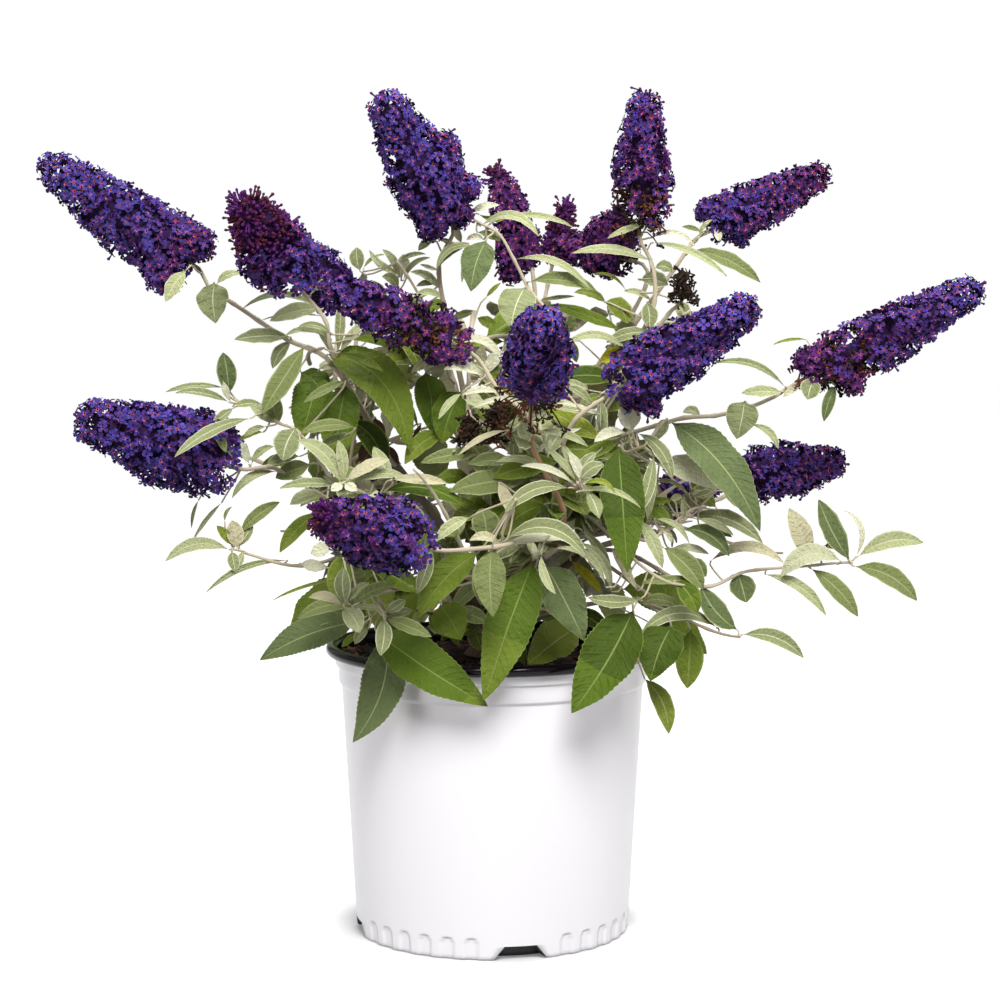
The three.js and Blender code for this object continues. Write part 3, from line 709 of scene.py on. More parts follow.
def net_faces(rows, columns, round_rows=False, round_columns=True):
    """The quads of a net of points. Its rows and its columns may close on themselves."""
    i = np.arange(rows if round_rows else rows - 1)
    j = np.arange(columns if round_columns else columns - 1)
    i, j = np.meshgrid(i, j, indexing="ij")
    i2, j2 = (i + 1) % rows, (j + 1) % columns
    corners = [i * columns + j, i * columns + j2, i2 * columns + j2, i2 * columns + j]
    return np.stack(corners, -1).reshape(-1, 4)


def flipped(faces):
    """The same faces turned over, each from the same first corner."""
    return np.roll(faces[:, ::-1], 1, axis=1)


def fan_faces(sides, first, hub, down=False):
    """The triangles from a closed ring of points to a hub."""
    a, b = first + np.arange(sides), first + (np.arange(sides) + 1) % sides
    return np.stack([b, a, np.full(sides, hub)] if down else [a, b, np.full(sides, hub)], -1)


class Heap:
    """The faces of many small forms, gathered for one piece."""

    def __init__(self):
        self.points, self.uvs, self.faces, self.slots = [], [], [], []
        self.count = 0

    def add(self, points, faces, slots, uvs=None):
        """faces is a list of arrays with rows of 3 or 4 corners, and slots has an array for each."""
        points = np.asarray(points, float).reshape(-1, 3)
        self.points.append(points)
        self.uvs.append(np.zeros((len(points), 2)) if uvs is None else np.asarray(uvs, float).reshape(-1, 2))
        for rows, slot in zip(faces, slots):
            if len(rows):
                self.faces.append(np.asarray(rows, int) + self.count)
                self.slots.append(np.broadcast_to(np.asarray(slot, int), len(rows)))
        self.count += len(points)

    def piece(self, name, materials, slot, nodes, smooth=True):
        """Makes the piece, which rides on the body and stands for some solids."""
        mesh = bpy.data.meshes.new(name)
        points = np.concatenate(self.points) * MM
        corners = np.concatenate([rows.ravel() for rows in self.faces])
        sizes = np.concatenate([np.full(len(rows), rows.shape[1]) for rows in self.faces])
        mesh.vertices.add(len(points))
        mesh.vertices.foreach_set("co", points.ravel())
        mesh.loops.add(len(corners))
        mesh.loops.foreach_set("vertex_index", corners.astype(np.int32))
        mesh.polygons.add(len(sizes))
        mesh.polygons.foreach_set("loop_start", (np.cumsum(sizes) - sizes).astype(np.int32))
        mesh.polygons.foreach_set("material_index", np.concatenate(self.slots).astype(np.int32))
        mesh.polygons.foreach_set("use_smooth", np.full(len(sizes), smooth))
        layer = mesh.uv_layers.new(name="UVMap")
        layer.data.foreach_set("uv", np.concatenate(self.uvs)[corners].ravel())
        mesh.update(calc_edges=True)
        mesh.validate()
        for material in materials:
            mesh.materials.append(material)
        piece = bpy.data.objects.new(name, mesh)
        bpy.context.scene.collection.objects.link(piece)
        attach(piece, "root")
        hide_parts(*nodes)


def frames_along(points):
    """Two directions across each point of a path, which don't twist along it."""
    ways = unit(np.gradient(points, axis=0))
    across = np.empty_like(points)
    across[0] = side_of(ways[0])
    for i in range(1, len(points)):
        across[i] = unit(across[i - 1] - ways[i] * np.dot(across[i - 1], ways[i]))
    return across, np.cross(ways, across)


def tube(heap, points, radii, sides, slot, relief=None):
    """A round limb with closed ends. relief is a share of the radius for each ring and side."""
    across, over = frames_along(points)
    angles = round_angles(sides)
    reach = np.asarray(radii)[:, None] * (1 if relief is None else 1 + relief)
    rings = len(points)
    reach = np.broadcast_to(reach, (rings, sides))[..., None]
    ring = across[:, None] * np.cos(angles)[:, None] + over[:, None] * np.sin(angles)[:, None]
    body = (points[:, None] + ring * reach).reshape(-1, 3)
    hub = rings * sides
    ends = [fan_faces(sides, 0, hub, down=True), fan_faces(sides, hub - sides, hub + 1)]
    run = np.concatenate([[0], np.cumsum(np.linalg.norm(np.diff(points, axis=0), axis=1))])
    round_share = np.arange(sides) / sides
    uvs = np.stack(np.meshgrid(run * UV_PER_MM, round_share, indexing="ij")[::-1], -1).reshape(-1, 2)
    corners = np.concatenate([body, points[:1], points[-1:]])
    uvs = np.concatenate([uvs, uvs[:1], uvs[-1:]])
    heap.add(corners, [net_faces(rings, sides), np.concatenate(ends)], [slot, slot], uvs)


# ---- Materials ---------------------------------------------------------------------------------
def linear(code):
    """A colour from its hex code."""
    parts = [int(code[i : i + 2], 16) / 255 for i in (1, 3, 5)]
    return [p / 12.92 if p <= 0.04045 else ((p + 0.055) / 1.055) ** 2.4 for p in parts] + [1.0]


class Look:
    """A material with its shader and a short way to add nodes."""

    def __init__(self, name, code, roughness, **inputs):
        self.material = bpy.data.materials.new(name)
        self.material.use_nodes = True
        self.tree = self.material.node_tree
        self.shader = self.tree.nodes["Principled BSDF"]
        self.shader.inputs["Base Color"].default_value = linear(code)
        self.shader.inputs["Roughness"].default_value = roughness
        for key, value in inputs.items():
            self.shader.inputs[key.replace("_", " ")].default_value = value

    def node(self, kind, settings=None, **links):
        node = self.tree.nodes.new("ShaderNode" + kind)
        for key, value in (settings or {}).items():
            setattr(node, key, value)
        for key, value in links.items():
            self.put(node.inputs[int(key[1:]) if key[1:].isdigit() else key.replace("_", " ")], value)
        return node

    def put(self, socket, value):
        if isinstance(value, bpy.types.NodeSocket):
            self.tree.links.new(value, socket)
        else:
            socket.default_value = value

    def math(self, operation, a, b=0.0, c=0.0):
        return self.node("Math", {"operation": operation}, i0=a, i1=b, i2=c).outputs[0]

    def place(self, kind="Object"):
        return self.node("TexCoord").outputs[kind]

    def noise(self, scale, detail=2.0, where=None):
        where = where or self.place()
        return self.node("TexNoise", Vector=where, Scale=scale, Detail=detail).outputs["Fac"]

    def spread(self, value, low, high):
        """A value from 0 to 1 brought between two others."""
        return self.node("MapRange", Value=value, To_Min=low, To_Max=high).outputs[0]

    def step(self, value, **limits):
        """A smooth step from 0 to 1."""
        return self.node("MapRange", {"interpolation_type": "SMOOTHSTEP"}, Value=value, **limits).outputs[0]

    def rough(self, value, low, high):
        self.put(self.shader.inputs["Roughness"], self.spread(value, low, high))

    def bump(self, height, strength, distance):
        """distance in millimetres."""
        bump = self.node("Bump", Height=height, Strength=strength, Distance=distance * MM)
        before = self.shader.inputs["Normal"].links
        if before:
            self.put(bump.inputs["Normal"], before[0].from_socket)
        self.put(self.shader.inputs["Normal"], bump.outputs[0])

    def grain(self, noise, rough, bump):
        """A grain in the roughness and the relief, from the arguments of those three."""
        grain = self.noise(*noise)
        self.rough(grain, *rough)
        self.bump(grain, *bump)
        return self


# ---- Stems -------------------------------------------------------------------------------------
FORKS = (0.05, 0.09)  # shares of a shoot from its bough to the first fork, and between forks
FORK_TURN = 0.6  # how far a fork turns at once towards where it goes
LED_FROM = 0.02  # share of a side shoot before the places that it goes by
MAIN_RADIUS, SIDE_RADIUS, CLUMP_RADII, FINE_RADII = 2.8, 2.0, (2.6, 1.3), (1.15, 0.8)
SPIKE_END, LEAFY_END = 1.6, 1.0  # radius at the end of a shoot
END_RISE = 0.5  # how much of its rise a leafy shoot keeps at its end
CLUMP_RISE = 0.22  # share of the trunk's height
CLUMP_PITCHES = (40, 10)  # degrees at its foot and at its end
BOUGH_SEED, SHOOT_SEED, CLUMP_SEED, CLUMP_STEP, SEEN_SEED = 31, 11, 900, 13, 1000


class Stem:
    """A shoot: its curve, the share where its twig begins, its two radii and its plan."""

    def __init__(self, curve, start, radii, shoot, seed, level=1):
        self.curve, self.start, self.radii, self.shoot = curve, start, radii, shoot
        self.seed, self.level = seed, level
        self.nodes = []

    def radius(self, t):
        return mix(self.radii[0], self.radii[1], (t - self.start) / (1 - self.start))


def end_of(shoot):
    return vec(shoot["foot"] if "spike" in shoot else shoot["tip"])


def end_way(shoot, start):
    """The way a shoot points where it ends: along its spike, or onwards and a little up."""
    if "spike" in shoot:
        return unit(vec(shoot["tip"]) - vec(shoot["foot"]))
    on = vec(shoot["tip"]) - start
    on[2] = max(on[2], 0) * END_RISE
    return unit(on)


def end_radius(shoot):
    return SPIKE_END if "spike" in shoot else LEAFY_END


def trunk_lean(rise):
    return TRUNK["lean"] * rise / TRUNK["height"]


def stems_of(bough, b):
    """The shoots of a bough. The first runs from the trunk, and the others fork from it."""
    tier = TIERS[bough["tier"]]
    start = vec((trunk_lean(tier["rise"]), 0, GROUND + tier["rise"]))
    main, *others = bough["shoots"]
    curve = Curve(start, heading(bough["azimuth"], tier["pitch"]), end_of(main), end_way(main, start))
    shares = [BOUGH_SHARE + FORKS[0] + FORKS[1] * i for i in range(len(others))]
    forks = [(curve.at(share), curve.way(share)) for share in shares]
    share = curve.reroute(BOUGH_SHARE, main["by"]) if "by" in main else BOUGH_SHARE
    stems = [Stem(curve, share, (MAIN_RADIUS, end_radius(main)), main, b * BOUGH_SEED)]
    for i, (shoot, (fork, fork_way)) in enumerate(zip(others, forks)):
        onward = unit(vec(shoot["by"][0] if "by" in shoot else end_of(shoot)) - fork)
        way = unit(mix(fork_way, onward, FORK_TURN))
        side = Curve(fork, way, end_of(shoot), end_way(shoot, fork))
        if "by" in shoot:
            side.reroute(LED_FROM, shoot["by"])
        seed = b * BOUGH_SEED + (i + 1) * SHOOT_SEED
        stems.append(Stem(side, 0.0, (SIDE_RADIUS, end_radius(shoot)), shoot, seed))
    return stems


def clump_stem(clump, c):
    start = heading(clump["azimuth"], 0) * TRUNK["radius"]
    start[2] = GROUND + TRUNK["height"] * CLUMP_RISE
    set_out, arrive = (heading(clump["azimuth"], pitch) for pitch in CLUMP_PITCHES)
    curve = Curve(start, set_out, vec(clump["tip"]), arrive)
    return Stem(curve, 0.0, CLUMP_RADII, clump, CLUMP_SEED + c * CLUMP_STEP)


# ---- Leaves ------------------------------------------------------------------------------------
# The tones of leaves: the colour above, the age of the leaf, and that of its midrib and margin. The
# first eight run from the youngest to the oldest.
LEAF_COLOURS = {
    "silver": ("#b4b592", "young", "young"),
    "frost": ("#a0a577", "young", "young"),
    "sage": ("#838a5e", "young", "young"),
    "dusk": ("#6f7946", "young", "mid"),
    "olive": ("#687524", "young", "mid"),
    "moss": ("#5e6f1b", "old", "old"),
    "green": ("#4e6312", "old", "old"),
    "deep": ("#3e500c", "old", "old"),
    "white": ("#cccbaf", "young", "young"),
    "cream": ("#b9b28f", "young", "young"),
    "lime": ("#7f8a24", "old", "mid"),
    "yellow": ("#a69d18", "old", "old"),
    "dry": ("#4a3320", "dry", "dry"),
    "fresh": ("#76852c", "old", "mid"),
    "felt": ("#5c693f", "old", "mid"),
}
TONES = list(LEAF_COLOURS)
OLDEST = TONES.index("deep")
PALER = {"olive": "fresh", "moss": "olive", "green": "moss", "deep": "green"}
TOP, RIB, MARGIN, UNDER = range(4)
MIDDLE, REST = 0.42, 0.58  # shares of the length before and after a leaf's middle
STALK_RINGS, BLADE = (0.035, 0.075), (0.13, 0.985)  # rings of points, as shares of the length
BLADE_START, STALK_END, TWIST_FROM = 0.05, 0.2, 0.2  # shares of the length
STALK_HALF, LEAST_BLADE = 0.075, 0.004
WAVES, WAVE_SHIFT = 3.2, 0.3  # along each edge, and between the two edges
MIDRIB, MIDRIB_SINK = 0.1, 0.35  # share of the half width, mm
THICK, RIB_THICK = 0.45, 0.5  # mm from one side to the other, and what the midrib adds
PALE_TIP, PALE_SPREAD, PALE_TURNS = 0.8, 0.3, 120  # where the tip of a leaf turns paler, and how that varies
OUTWARD = 1.2  # how far leaves turn outwards, for a turn upwards of 1
FOLD, CURL = (0.05, 0.45), (-0.25, 0.1)
LEAF_VARIETY = {"wave": (0.02, 0.09), "phase": (0, 1), "twist": (-0.5, 0.5), "bow": (-0.06, 0.06)}


class LeafKind:
    """The faces of a leaf: rings of points between its root and its tip, for each of its sides."""

    def __init__(self, rings, top, under, swell, tooth=0.0):
        """top has the place of each line of points above, and the part before it."""
        self.rings, self.swell, self.tooth = rings, swell, tooth
        self.s = np.concatenate([STALK_RINGS, np.linspace(*BLADE, rings - len(STALK_RINGS))])
        self.sides = [vec([u for u, _ in top]), vec(under)]
        parts = [[part for _, part in top[1:]], [UNDER] * (len(under) - 1)]
        self.quad_parts = np.repeat(np.concatenate(parts), rings - 1)
        self.tri_parts = np.repeat(np.concatenate(parts), 2)
        quads, tris, base = [], [], 0
        for columns in self.sides:
            k, root = len(columns), rings * len(columns)
            first, last = np.arange(k - 1), root - k + np.arange(k - 1)
            strips = net_faces(rings, k, round_columns=False).reshape(rings - 1, k - 1, 4)
            quads.append(base + strips.swapaxes(0, 1).reshape(-1, 4))
            ends = [np.full(k - 1, root), first + 1, first, np.full(k - 1, root + 1), last, last + 1]
            tris.append(base + np.stack(ends, -1).reshape(-1, 3))
            base += root + 2
        self.quads = np.concatenate([flipped(quads[0]), quads[1]])
        self.tris = np.concatenate([flipped(tris[0]), tris[1]])

    def outline(self):
        """The half width at each ring, as a share of the greatest."""
        x = np.clip((self.s - BLADE_START) / (1 - BLADE_START), LEAST_BLADE, 1)
        body = x ** self.swell[0] * (1 - x) ** self.swell[1]
        return np.maximum(body / body.max(), np.where(self.s < STALK_END, STALK_HALF, 0.0))


SMALL_LINES = [(-1, 0), (-0.07, TOP), (0.07, RIB), (1, TOP)]
STEM_LINES = [(-1, 0), (-0.88, MARGIN), (-0.45, TOP), (-0.055, TOP)]
STEM_LINES += [(0.055, RIB), (0.45, TOP), (0.88, TOP), (1, MARGIN)]
BIG_LINES = [(-1, 0), (-0.97, MARGIN), (-0.65, TOP), (-0.32, TOP), (-0.03, TOP)]
BIG_LINES += [(0.03, RIB), (0.32, TOP), (0.65, TOP), (0.97, TOP), (1, MARGIN)]
BIG_UNDER = (-1, -0.97, -0.65, -0.32, 0, 0.32, 0.65, 0.97, 1)
LEAF_KINDS = {
    "tiny": LeafKind(6, SMALL_LINES, (-1, 0, 1), (0.8, 0.8)),
    "stem": LeafKind(11, STEM_LINES, (-1, -0.88, -0.45, 0, 0.45, 0.88, 1), (0.78, 0.84)),
    "big": LeafKind(40, BIG_LINES, BIG_UNDER, (0.6, 0.95), tooth=0.05),
}


def facing(place):
    """Which way the upper side of a leaf faces: up, and out from the middle of the bush."""
    return unit(vec((place[0], place[1], 0))) * OUTWARD + UP


def leaf(root, middle, tip, width, tone, rng, kind="stem", face=None, fold=None, curl=0.0):
    """One leaf. fold raises its two halves and curl bends its edges down."""
    return {
        "kind": kind, "root": root, "middle": middle, "tip": tip, "width": width, "tone": tone,
        "face": facing(root) if face is None else face,
        "fold": rng.uniform(*FOLD) if fold is None else fold,
        "curl": curl + rng.uniform(*CURL),
    } | {key: rng.uniform(*limits) for key, limits in LEAF_VARIETY.items()}


def line_of(one, shares):
    """Points along a leaf, from its root by its middle to its tip."""
    t = vec(shares)[:, None]
    first = mix(one["root"], one["middle"], t / MIDDLE)
    return np.where(t < MIDDLE, first, mix(one["middle"], one["tip"], (t - MIDDLE) / REST))


def shape_leaves(heap, leaves, kind, slots):
    """Adds every leaf of one kind to a heap. slots gives the material of each part and tone."""
    if not leaves:
        return
    form = LEAF_KINDS[kind]
    read = {key: np.array([one[key] for one in leaves], float) for key in leaves[0] if key != "kind"}
    root, middle, tip = read["root"], read["middle"], read["tip"]
    bend = (middle - REST**2 * root - MIDDLE**2 * tip) / (2 * MIDDLE * REST)
    each = {key: values[:, None, None] for key, values in read.items() if values.ndim == 1}
    length = np.linalg.norm(tip - root, axis=1)
    s = form.s[None, :, None]
    path = root[:, None] * (1 - s) ** 2 + bend[:, None] * 2 * s * (1 - s) + tip[:, None] * s**2
    way = unit((bend - root)[:, None] * (1 - s) + (tip - bend)[:, None] * s)
    side = unit(np.cross(way, read["face"][:, None]))
    side = turned(side, way, each["twist"] * (s - TWIST_FROM))
    over = np.cross(side, way)
    path = path + side * (read["bow"] * length)[:, None, None] * np.sin(math.pi * s)
    half = (read["width"][:, None] / 2 * form.outline())[..., None]
    tooth = form.tooth * (np.arange(form.rings) % 2)[None, :, None]
    points, uvs = [], []
    for under, u in enumerate(form.sides):
        reach = half * u * (1 - tooth * u**8)
        ripple = np.sin(2 * math.pi * (s * WAVES + each["phase"] + WAVE_SHIFT * np.sign(u)))
        lift = np.abs(reach) * each["fold"] + each["curl"] * u**2 * half
        lift = lift + each["wave"] * ripple * u**2 * half * 2
        if under:
            lift = lift - (THICK + RIB_THICK * (u == 0)) * (1 - u**2)
        else:
            lift = lift - MIDRIB_SINK * (np.abs(u) < MIDRIB)
        grid = path[:, :, None] + side[:, :, None] * reach[..., None] + over[:, :, None] * lift[..., None]
        points += [grid.reshape(len(leaves), -1, 3), np.stack([root, tip], 1)]
        across = np.broadcast_to(u * 0.5 + 0.5, grid.shape[:3])
        along = np.broadcast_to(s * length[:, None, None] * UV_PER_MM, grid.shape[:3])
        ends = np.stack([0 * length, length * UV_PER_MM], 1)
        uvs.append(np.stack([across, along], -1).reshape(len(leaves), -1, 2))
        uvs.append(np.stack([np.full(ends.shape, 0.5), ends], -1))
    points = np.concatenate(points, 1)
    offsets = (np.arange(len(leaves)) * points.shape[1])[:, None, None]
    faces = [(rows[None] + offsets).reshape(-1, rows.shape[1]) for rows in (form.quads, form.tris)]
    tones = read["tone"].astype(int)[:, None]
    quad_slots = slots[form.quad_parts, mottled(form, tones, read["phase"][:, None])]
    tri_slots = slots[form.tri_parts, tones]
    heap.add(points, faces, [quad_slots.ravel(), tri_slots.ravel()], np.concatenate(uvs, 1))


def mottled(form, tones, phase):
    """The tone of each face of each leaf. The tips of some leaves are paler above."""
    along = np.arange(len(form.quad_parts)) % (form.rings - 1) / form.rings
    paler = np.array([TONES.index(PALER.get(name, name)) for name in TONES])[tones]
    at_tip = along + PALE_SPREAD * np.sin(phase * PALE_TURNS) > PALE_TIP
    return np.where(at_tip & (form.quad_parts == TOP), paler, tones)


# ---- Where leaves grow -------------------------------------------------------------------------
NODE_GAP, FINE_GAP = 26, 24  # between one pair of leaves and the next
FIRST_NODE, FIRST_FINE = 11, 8  # from the start of a twig
BARE_END, LEAFY_TIP = 15, 9  # without nodes, before a spike or a tuft
LEAF_LENGTHS = (80, 52)  # at the foot of a shoot and at its end
FINE_LEAVES = 0.64  # of those lengths
SLIMNESS = 0.4
PITCH = 56  # degrees between a leaf and its stem
DROOP, EARLY_DROOP = 0.42, 0.35  # and its share that shows before the middle of a leaf
PAIR_TURN, PAIR_PITCH = (-22, 22), (-12, 14)  # degrees
PAIR_LENGTH, PAIR_DROOP, PAIR_WIDTH = (0.78, 1.12), (-0.2, 0.25), (0.88, 1.08)
TUFT_SIZES, TUFT_LEAVES = (52, 38), (5, 4)  # on a shoot and on a finer twig
TUFT_RINGS = [(1.0, 1.0), (0.62, 0.5), (0.36, 0.2)]  # share of its size, and how far it spreads
INNER_LEAVES = (3, 2)
TUFT_END, TUFT_RISE, TUFT_DROOP = 0.985, 0.75, 0.2
TUFT_TURN, TUFT_STEP, TUFT_LENGTH = (-14, 14), 40, (0.85, 1.15)
TUFT_SLIMNESS, TUFT_NARROWING, TUFT_OLDEST = 0.4, 0.05, TONES.index("olive")
AXIL_LEAVES, AXIL_LENGTH, AXIL_SLIMNESS, AXIL_DROOP = (2, 5), (13, 27), 0.34, 0.1
AXIL_OUT, AXIL_SPREAD, AXIL_YOUNGER = (0.3, 1.0), 0.35, 2
FINE_LENGTH, FINE_SPREAD, FINE_ALONG, FINE_RISE = (34, 74), 0.18, 0.55, 0.15
FINE_END_RISE = 0.35
FINE_SHARE, FINE_TO, AXIL_SHARE = 0.42, 0.92, 0.7  # of the axils of leaves
GAP_VARIETY = (0.9, 1.1)
AGE, AGE_OUT, AGE_ALONG, AGE_SPREAD = 6.6, 2.6, 1.6, 0.9  # in tones
INSIDE_REACH, INSIDE_TOP, INSIDE_RISE = 200, 260, 420  # where leaves are younger, outwards and upwards
EYE_WAY = unit(vec((0, -1, 0.55)))
FACING_EYE = 100  # leaves before this turn their upper side to the eye
BIG_WIDTH = 24
SEEN_FOLD, SEEN_CURL, SEEN_TWIST = (0.02, 0.3), 0.1, 0.6
SEEN_SWELL, LIFT_TO_EYE = 0.06, 0.01  # how far its middle and its rise lean to the way it faces
STALK_RADII, STALK_SIDES, STALK_LEAST = np.linspace(0.9, 0.7, 6), 5, 2
STALK_FROM, STALK_STEPS = (0.2, 0.99), 20  # places of a stem that a stalk can leave from
STALK_BACK, STALK_BEND = 12, 0.8


def drooping(root, way, length, droop):
    """The middle and the tip of a leaf that sets out one way and droops towards its tip."""
    middle = root + unit(way - UP * droop * EARLY_DROOP) * length * MIDDLE
    return middle, middle + unit(way - UP * droop) * length * REST


def tone_at(place, t, rng):
    """Old leaves, low and deep inside the bush, are green, and young ones silver."""
    out = math.hypot(place[0], place[1]) / INSIDE_REACH + max(place[2] - INSIDE_TOP, 0) / INSIDE_RISE
    age = AGE - AGE_OUT * out - AGE_ALONG * t
    return int(np.clip(round(age + rng.normal(0, AGE_SPREAD)), 0, OLDEST))


def pair_at(stem, t, k, rng):
    """The two leaves of a node, a quarter turn from those of the node before."""
    along, root = stem.curve.way(t), stem.curve.at(t)
    size = mix(*LEAF_LENGTHS, t) * (1.0 if stem.level == 1 else FINE_LEAVES)
    made = []
    for half in (0, 1):
        out = turned(side_of(along), along, math.radians(90 * k + 180 * half + rng.uniform(*PAIR_TURN)))
        pitch = math.radians(PITCH + rng.uniform(*PAIR_PITCH))
        way = unit(out * math.sin(pitch) + along * math.cos(pitch))
        length = size * rng.uniform(*PAIR_LENGTH)
        middle, tip = drooping(root, way, length, DROOP + rng.uniform(*PAIR_DROOP))
        tone = tone_at(root, t, rng)
        made.append(leaf(root, middle, tip, length * SLIMNESS * rng.uniform(*PAIR_WIDTH), tone, rng))
    return made


def tuft(stem, rng):
    """The young leaves at the end of a shoot, with still younger ones in their middle."""
    along, root = stem.curve.way(1), stem.curve.at(TUFT_END)
    size, count = TUFT_SIZES[stem.level - 1], TUFT_LEAVES[stem.level - 1]
    made = []
    start = rng.uniform(0, 360)
    for ring, ((share, spread), number) in enumerate(zip(TUFT_RINGS, (count, *INNER_LEAVES))):
        for i in range(number):
            turn = math.radians(360 / number * i + start + TUFT_STEP * ring + rng.uniform(*TUFT_TURN))
            way = unit(turned(side_of(along), along, turn) * spread + along * TUFT_RISE)
            length = size * share * rng.uniform(*TUFT_LENGTH)
            middle, tip = drooping(root, way, length, TUFT_DROOP)
            tone = int(np.clip(round(tone_at(root, 1, rng) - ring), 0, TUFT_OLDEST))
            width = length * (TUFT_SLIMNESS - TUFT_NARROWING * ring)
            made.append(leaf(root, middle, tip, width, tone, rng, "tiny" if ring else "stem"))
    return made


def axil_tuft(stem, t, out, along, rng):
    """A few tiny leaves between a leaf and its stem."""
    made = []
    root = stem.curve.at(t)
    for _ in range(rng.integers(*AXIL_LEAVES)):
        way = unit(out * rng.uniform(*AXIL_OUT) + along + rng.normal(0, AXIL_SPREAD, 3))
        length = rng.uniform(*AXIL_LENGTH)
        middle, tip = drooping(root, way, length, AXIL_DROOP)
        tone = max(tone_at(root, t, rng) - AXIL_YOUNGER, 0)
        made.append(leaf(root, middle, tip, length * AXIL_SLIMNESS, tone, rng, "tiny"))
    return made


def finer_twig(stem, t, out, along, rng):
    """A short side twig from the axil of a leaf."""
    root = stem.curve.at(t)
    way = unit(out + along * FINE_ALONG + UP * FINE_RISE)
    length = rng.uniform(*FINE_LENGTH)
    end = root + unit(way + rng.normal(0, FINE_SPREAD, 3)) * length
    curve = Curve(root, way, end, unit(way + UP * FINE_END_RISE))
    return Stem(curve, 0.0, FINE_RADII, {"tip": end}, stem.seed, level=2)


def dress(stem, rng):
    """The leaves of a stem, and the finer twigs that it bears."""
    leaves, twigs = [], []
    gap, first = (NODE_GAP, FIRST_NODE) if stem.level == 1 else (FINE_GAP, FIRST_FINE)
    run = stem.start * stem.curve.length + first
    end = stem.curve.length - (BARE_END if "spike" in stem.shoot else LEAFY_TIP)
    while run < end:
        t, k = run / stem.curve.length, len(stem.nodes)
        leaves += pair_at(stem, t, k, rng)
        stem.nodes.append(t)
        along = stem.curve.way(t)
        for half in (0, 1) if stem.level == 1 else ():
            out = turned(side_of(along), along, math.radians(90 * k + 180 * half))
            dice = rng.uniform()
            if dice < FINE_SHARE and t < FINE_TO:
                twigs.append(finer_twig(stem, t, out, along, rng))
            elif dice < AXIL_SHARE:
                leaves += axil_tuft(stem, t, out, along, rng)
        run += gap * rng.uniform(*GAP_VARIETY)
    if "spike" not in stem.shoot:
        leaves += tuft(stem, rng)
    return leaves, twigs


def placed_leaf(line, stems, rng, heap):
    """A leaf of SEEN, which turns its upper side to the eye, on a stalk from the nearest stem."""
    *numbers, tone, rise = line.split()
    start, tip, width = vec(numbers[:3]), vec(numbers[3:6]), float(numbers[6])
    face = EYE_WAY if start[1] < FACING_EYE else facing(start)
    along, length = unit(tip - start), np.linalg.norm(tip - start)
    lift = unit(UP - along * along[2] + face * LIFT_TO_EYE)
    middle = mix(start, tip, MIDDLE) + lift * float(rise) + face * length * SEEN_SWELL
    first, last = STALK_FROM
    shares = [np.linspace(max(stem.start, first), last, STALK_STEPS) for stem in stems]
    roots = np.concatenate([stem.curve.at(t) for stem, t in zip(stems, shares)])
    root = min(roots, key=lambda r: np.linalg.norm(r - start))
    if np.linalg.norm(root - start) > STALK_LEAST:
        way = unit(unit(middle - start) - face * STALK_BEND)
        stalk = Curve(root, unit(start - root - face * STALK_BACK), start, way)
        tube(heap, stalk.at(np.linspace(0, 1, len(STALK_RADII))), STALK_RADII, STALK_SIDES, PALE)
    kind, fold = "big" if width > BIG_WIDTH else "stem", rng.uniform(*SEEN_FOLD)
    made = leaf(start, middle, tip, width, TONES.index(tone), rng, kind, face, fold, SEEN_CURL)
    return made | {"twist": made["twist"] * SEEN_TWIST}


# ---- Keeping leaves in their own room ----------------------------------------------------------
SPIKE_PROFILE = [(0, 0.62), (0.14, 1.0), (0.45, 1.0), (0.94, 0.52), (1.0, 0.25)]
SPIKES = [shoot for bough in BOUGHS for shoot in bough["shoots"] if "spike" in shoot]
SPIKE_LINES = [(vec(s["foot"]), vec(s["tip"]), s["radius"]) for s in SPIKES]
LEAF_PROBES = (0.35, 0.6, 0.8, 1.0)
PLAIN_VIEW = 90  # leaves keep from before the spikes whose middles stand before this
BLOSSOM_ROOM, BLOSSOM_MARGIN, VIEW_ROOM = 0.93, 1.5, 0.75  # of the radius of the blossom, but for the margin
POT_ROOM, POT_ROOM_TOP = 146, 246
BOX_SPARE = 14
LEAF_SPARE, CURTAIN_SPARE = 0.35, 0.25  # shares of a leaf's width
CURTAIN_PROBES = np.linspace(0.1, 0.9, 7)
HIDING_RUN, HIDING_ROOM = (0.08, 0.95), 0.8  # of a spike that hides what is behind it


def spike_share(t):
    """How far the blossom stands from the axis of its spike, as a share of its radius."""
    return read_off(SPIKE_PROFILE, t)


def in_blossom(points):
    """Whether a point lies in a spike."""
    for foot, tip, radius in SPIKE_LINES:
        axis = tip - foot
        t = np.clip((points - foot) @ axis / (axis @ axis), 0, 1)
        gap = np.linalg.norm(points - (foot + t[:, None] * axis), axis=1)
        if np.any(gap < spike_share(t) * radius * BLOSSOM_ROOM + BLOSSOM_MARGIN):
            return True
    return False


def hides_blossom(points):
    """Whether a point stands before one of the spikes in plain view."""
    for foot, tip, radius in SPIKE_LINES:
        if (foot[1] + tip[1]) / 2 > PLAIN_VIEW:
            continue
        axis = (tip - foot)[[0, 2]]
        flat = points[:, [0, 2]] - foot[[0, 2]]
        t = np.clip(flat @ axis / max(axis @ axis, 1), 0.0, 1)
        gap = np.linalg.norm(flat - t[:, None] * axis, axis=1)
        before = points[:, 1] < foot[1] + t * (tip[1] - foot[1])
        if np.any(before & (gap < spike_share(t) * radius * VIEW_ROOM)):
            return True
    return False


def in_pot(points):
    """Whether a point comes into the pot or close to its rim."""
    out = np.hypot(points[:, 0], points[:, 1])
    return bool(np.any((points[:, 2] < POT_ROOM_TOP) & (out < POT_ROOM)))


def seen_at(points):
    """Where points show from the front, as x and z in the plane of the trunk."""
    eye = vec(EYE_PLACE)
    share = eye[1] / (eye[1] - points[:, 1])
    return (eye + (points - eye) * share[:, None])[:, [0, 2]]


